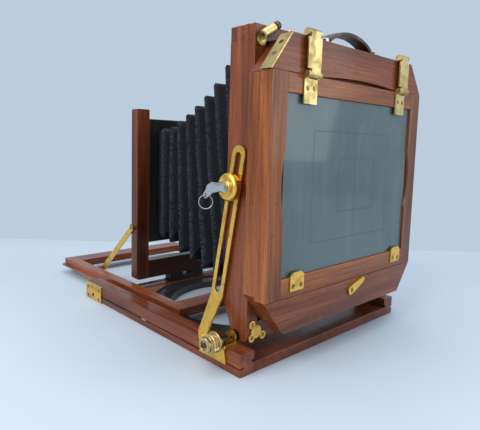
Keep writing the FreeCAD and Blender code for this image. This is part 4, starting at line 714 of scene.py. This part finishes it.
def make_keeper(name, foot, half_width, height):
    """A flat metal band over the strap, with a foot at each side."""
    path = [
        (-half_width - 3.0 * MM, 0.5 * MM), (-half_width, 0.5 * MM), (-half_width, height),
        (half_width, height), (half_width, 0.5 * MM), (half_width + 3.0 * MM, 0.5 * MM),
    ]
    half_band, wall = 2.2 * MM, 0.5 * MM
    stations = []
    for index, (y, z) in enumerate(path):
        before = Vector(path[max(index - 1, 0)])
        after = Vector(path[min(index + 1, len(path) - 1)])
        along = (after - before).normalized()
        normal = Vector((0, -along.y, along.x))
        stretch = 1.0 if index in (0, len(path) - 1) else 1.35
        stations.append((foot + Vector((0, y, z)), Vector((1, 0, 0)), normal * stretch))
    section = [(-half_band, -wall), (half_band, -wall), (half_band, wall), (-half_band, wall)]
    band = swept(name, stations, section, MATERIALS["steel"])
    rounding = band.modifiers.new("rounding", "BEVEL")
    rounding.width = 0.35 * MM
    rounding.segments = 3
    sharpen(band, 40)
    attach(band, "rear_body")


# ---------------------------------------------------------------------------------------------
# knobs, ring and pencil lines
# ---------------------------------------------------------------------------------------------

KNURLS = 60


def knob(node, body, outline, material):
    """A turned knob on an X axis. Outline rows are (distance out, radius, knurl depth) in mm."""
    low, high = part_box(node)
    side = 1 if low.x > 0 else -1
    inner = low.x if side > 0 else high.x
    centre = (low + high) / 2
    segments = KNURLS * 4
    vertices = []
    for out, radius, depth in outline:
        for segment in range(segments):
            angle = 2 * math.pi * segment / segments
            crest = (0.0, 0.5, 1.0, 0.5)[segment % 4]
            reach = (radius - depth * crest) * MM
            y = centre.y + reach * math.cos(angle)
            z = centre.z + reach * math.sin(angle)
            vertices.append((inner + side * out * MM, y, z))
    faces = grid_faces(len(outline), segments, closed_rows=True)
    if side > 0:
        faces = [face[::-1] for face in faces]
    turned = piece(f"{node}_turned", vertices, faces, material)
    sharpen(turned, 38)
    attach(turned, body)
    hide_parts(node)


UPPER_KNOB = (
    (0.0, 2.6, 0), (0.0, 11.0, 0), (0.4, 11.5, 0), (2.0, 11.5, 0), (2.4, 12.4, 0), (2.8, 12.9, 0.35),
    (7.2, 12.9, 0.35), (7.8, 12.5, 0), (8.6, 11.6, 0), (9.2, 10.7, 0), (9.4, 9.8, 0), (9.2, 8.9, 0),
    (8.9, 8.1, 0), (8.9, 6.1, 0), (9.6, 5.7, 0), (10.2, 5.3, 0), (10.5, 4.6, 0), (10.5, 3.4, 0),
    (9.4, 2.9, 0), (9.0, 2.6, 0),
)
LOWER_KNOB = (
    (0.0, 2.6, 0), (0.0, 9.4, 0), (0.3, 9.8, 0), (1.7, 9.8, 0), (2.0, 9.4, 0), (2.3, 8.2, 0), (3.2, 8.2, 0),
    (3.5, 9.2, 0.45), (4.9, 9.2, 0.45), (5.2, 8.4, 0), (5.7, 8.4, 0), (6.0, 9.2, 0.45), (7.4, 9.2, 0.45),
    (7.7, 8.4, 0), (8.2, 8.2, 0), (8.6, 6.6, 0), (9.4, 6.3, 0), (10.0, 7.0, 0), (10.6, 7.4, 0),
    (13.4, 7.4, 0), (14.1, 7.0, 0), (14.4, 6.2, 0), (14.4, 4.6, 0), (13.6, 4.2, 0), (12.4, 4.0, 0),
    (12.4, 2.6, 0),
)


def knobs():
    for side in ("left", "right"):
        knob(f"upper_knob_{side}", f"clamp_upper_{side}", UPPER_KNOB, MATERIALS["brass"])
        knob(f"lower_knob_{side}", f"clamp_lower_{side}", LOWER_KNOB, MATERIALS["knob_brass"])


def split_ring():
    """Two flattened turns of spring wire."""
    low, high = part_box("split_ring")
    centre = (low + high) / 2
    axle = Vector((0.69, 0.72, 0)).normalized()
    level = Vector((-axle.y, axle.x, 0))
    radius = 6.6 * MM
    wire = 0.34 * MM
    turns = 1.92
    count = 150
    stations = []
    for step in range(count + 1):
        angle = 2 * math.pi * turns * step / count + math.radians(100)
        out = level * math.cos(angle) + Vector((0, 0, math.sin(angle)))
        drift = axle * (step / count - 0.5) * 0.7 * MM
        stations.append((centre + out * radius + drift, out, axle))
    angles = [2 * math.pi * number / 12 for number in range(12)]
    section = [(wire * 1.15 * math.cos(angle), wire * math.sin(angle)) for angle in angles]
    ring = swept("split_ring_coil", stations, section, MATERIALS["steel"])
    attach(ring, "ring")
    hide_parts("split_ring")


def pencil_lines():
    """Framing lines drawn on the ground glass: two rectangles and a centre line."""
    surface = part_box("ground_glass")[1].y + 0.01 * MM
    half_line = 0.28 * MM
    centre_x = -4.0 * MM
    outer = (-65 * MM, 65 * MM, 117 * MM, 221 * MM)
    inner = (-38 * MM, 25 * MM, 144 * MM, 195.5 * MM)
    runs = [((centre_x, outer[2]), (centre_x, outer[3]))]
    for left, right, bottom, top in (outer, inner):
        runs += [((left, bottom), (right, bottom)), ((right, bottom), (right, top))]
        runs += [((right, top), (left, top)), ((left, top), (left, bottom))]
    vertices, faces = [], []
    for start, end in runs:
        along = (Vector(end) - Vector(start)).normalized()
        across = Vector((-along.y, along.x)) * half_line
        start, end = Vector(start), Vector(end)
        for corner in (start - across, end - across, end + across, start + across):
            vertices.append((corner.x, surface, corner.y))
        faces.append(tuple(range(len(vertices) - 4, len(vertices))))
    lines = piece("pencil_lines", vertices, faces, MATERIALS["graphite"], smooth=False)
    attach(lines, "glass_frame")


# ---------------------------------------------------------------------------------------------
# table, light and camera
# ---------------------------------------------------------------------------------------------

CAMERA_PLACE = Vector((0.4124, 0.4275, 0.2078))
AZIMUTH, ELEVATION, ROLL = math.radians(136.33), math.radians(6.38), math.radians(1.65)
SENSOR = 36.0
FOCAL = 35.7075
SHIFT_X, SHIFT_Y = -0.0015, -0.0385
TABLE_EDGE = 0.366
TABLE_HALF = 4.0
BACKDROP = (0.497, 0.610, 0.723)


def make_table():
    """Pale table whose straight far edge stands behind the object."""
    towards = Vector((math.sin(AZIMUTH), -math.cos(AZIMUTH), 0))
    sideways = Vector((-towards.y, towards.x, 0))
    near, far, side = towards * TABLE_HALF, towards * -TABLE_EDGE, sideways * TABLE_HALF
    drop = Vector((0, 0, -0.2 * MM))
    corners = [corner + drop for corner in (far - side, near - side, near + side, far + side)]
    table = piece("table", corners, [(0, 1, 2, 3)], table_top(), smooth=False)


def make_light():
    world = bpy.data.worlds.new("studio")
    world.use_nodes = True
    background = world.node_tree.nodes["Background"]
    background.inputs["Color"].default_value = (*BACKDROP, 1)
    background.inputs["Strength"].default_value = 1.0
    bpy.context.scene.world = world
    lights = (
        # name, place, size, power, colour
        ("key", (1.30, 0.07, 0.95), 1.1, 16.0, (1.0, 0.98, 0.95)),
        ("top", (0.0, 0.17, 1.6), 1.6, 14.0, (0.94, 0.97, 1.0)),
        ("fill", (-0.7, 1.27, 0.7), 1.2, 8.0, (0.92, 0.96, 1.0)),
    )
    target = Vector((0, 0, 0.14))
    for name, place, size, power, colour in lights:
        lamp = bpy.data.lights.new(name, "AREA")
        lamp.size = size
        lamp.energy = power
        lamp.color = colour
        obj = bpy.data.objects.new(name, lamp)
        obj.location = place
        obj.rotation_euler = (target - Vector(place)).to_track_quat("-Z", "Y").to_euler()
        bpy.context.scene.collection.objects.link(obj)


def make_camera():
    lens = bpy.data.cameras.new("camera")
    lens.sensor_width = SENSOR
    lens.lens = FOCAL
    lens.shift_x = SHIFT_X
    lens.shift_y = SHIFT_Y
    lens.clip_start = 0.02
    camera = bpy.data.objects.new("camera", lens)
    level_part = math.cos(ELEVATION)
    towards = Vector(
        (math.sin(AZIMUTH) * level_part, -math.cos(AZIMUTH) * level_part, math.sin(ELEVATION))
    )
    level = (-towards).to_track_quat("-Z", "Y").to_matrix().to_4x4()
    camera.matrix_world = Matrix.Translation(CAMERA_PLACE) @ level @ Matrix.Rotation(ROLL, 4, "Z")
    bpy.context.scene.collection.objects.link(camera)
    bpy.context.scene.camera = camera


bpy.context.scene.view_settings.view_transform = "Standard"
make_camera()
make_light()
make_table()
finish_wood()
finish_metal_and_glass()
bellows_pieces()
handle_pieces()
knobs()
split_ring()
pencil_lines()
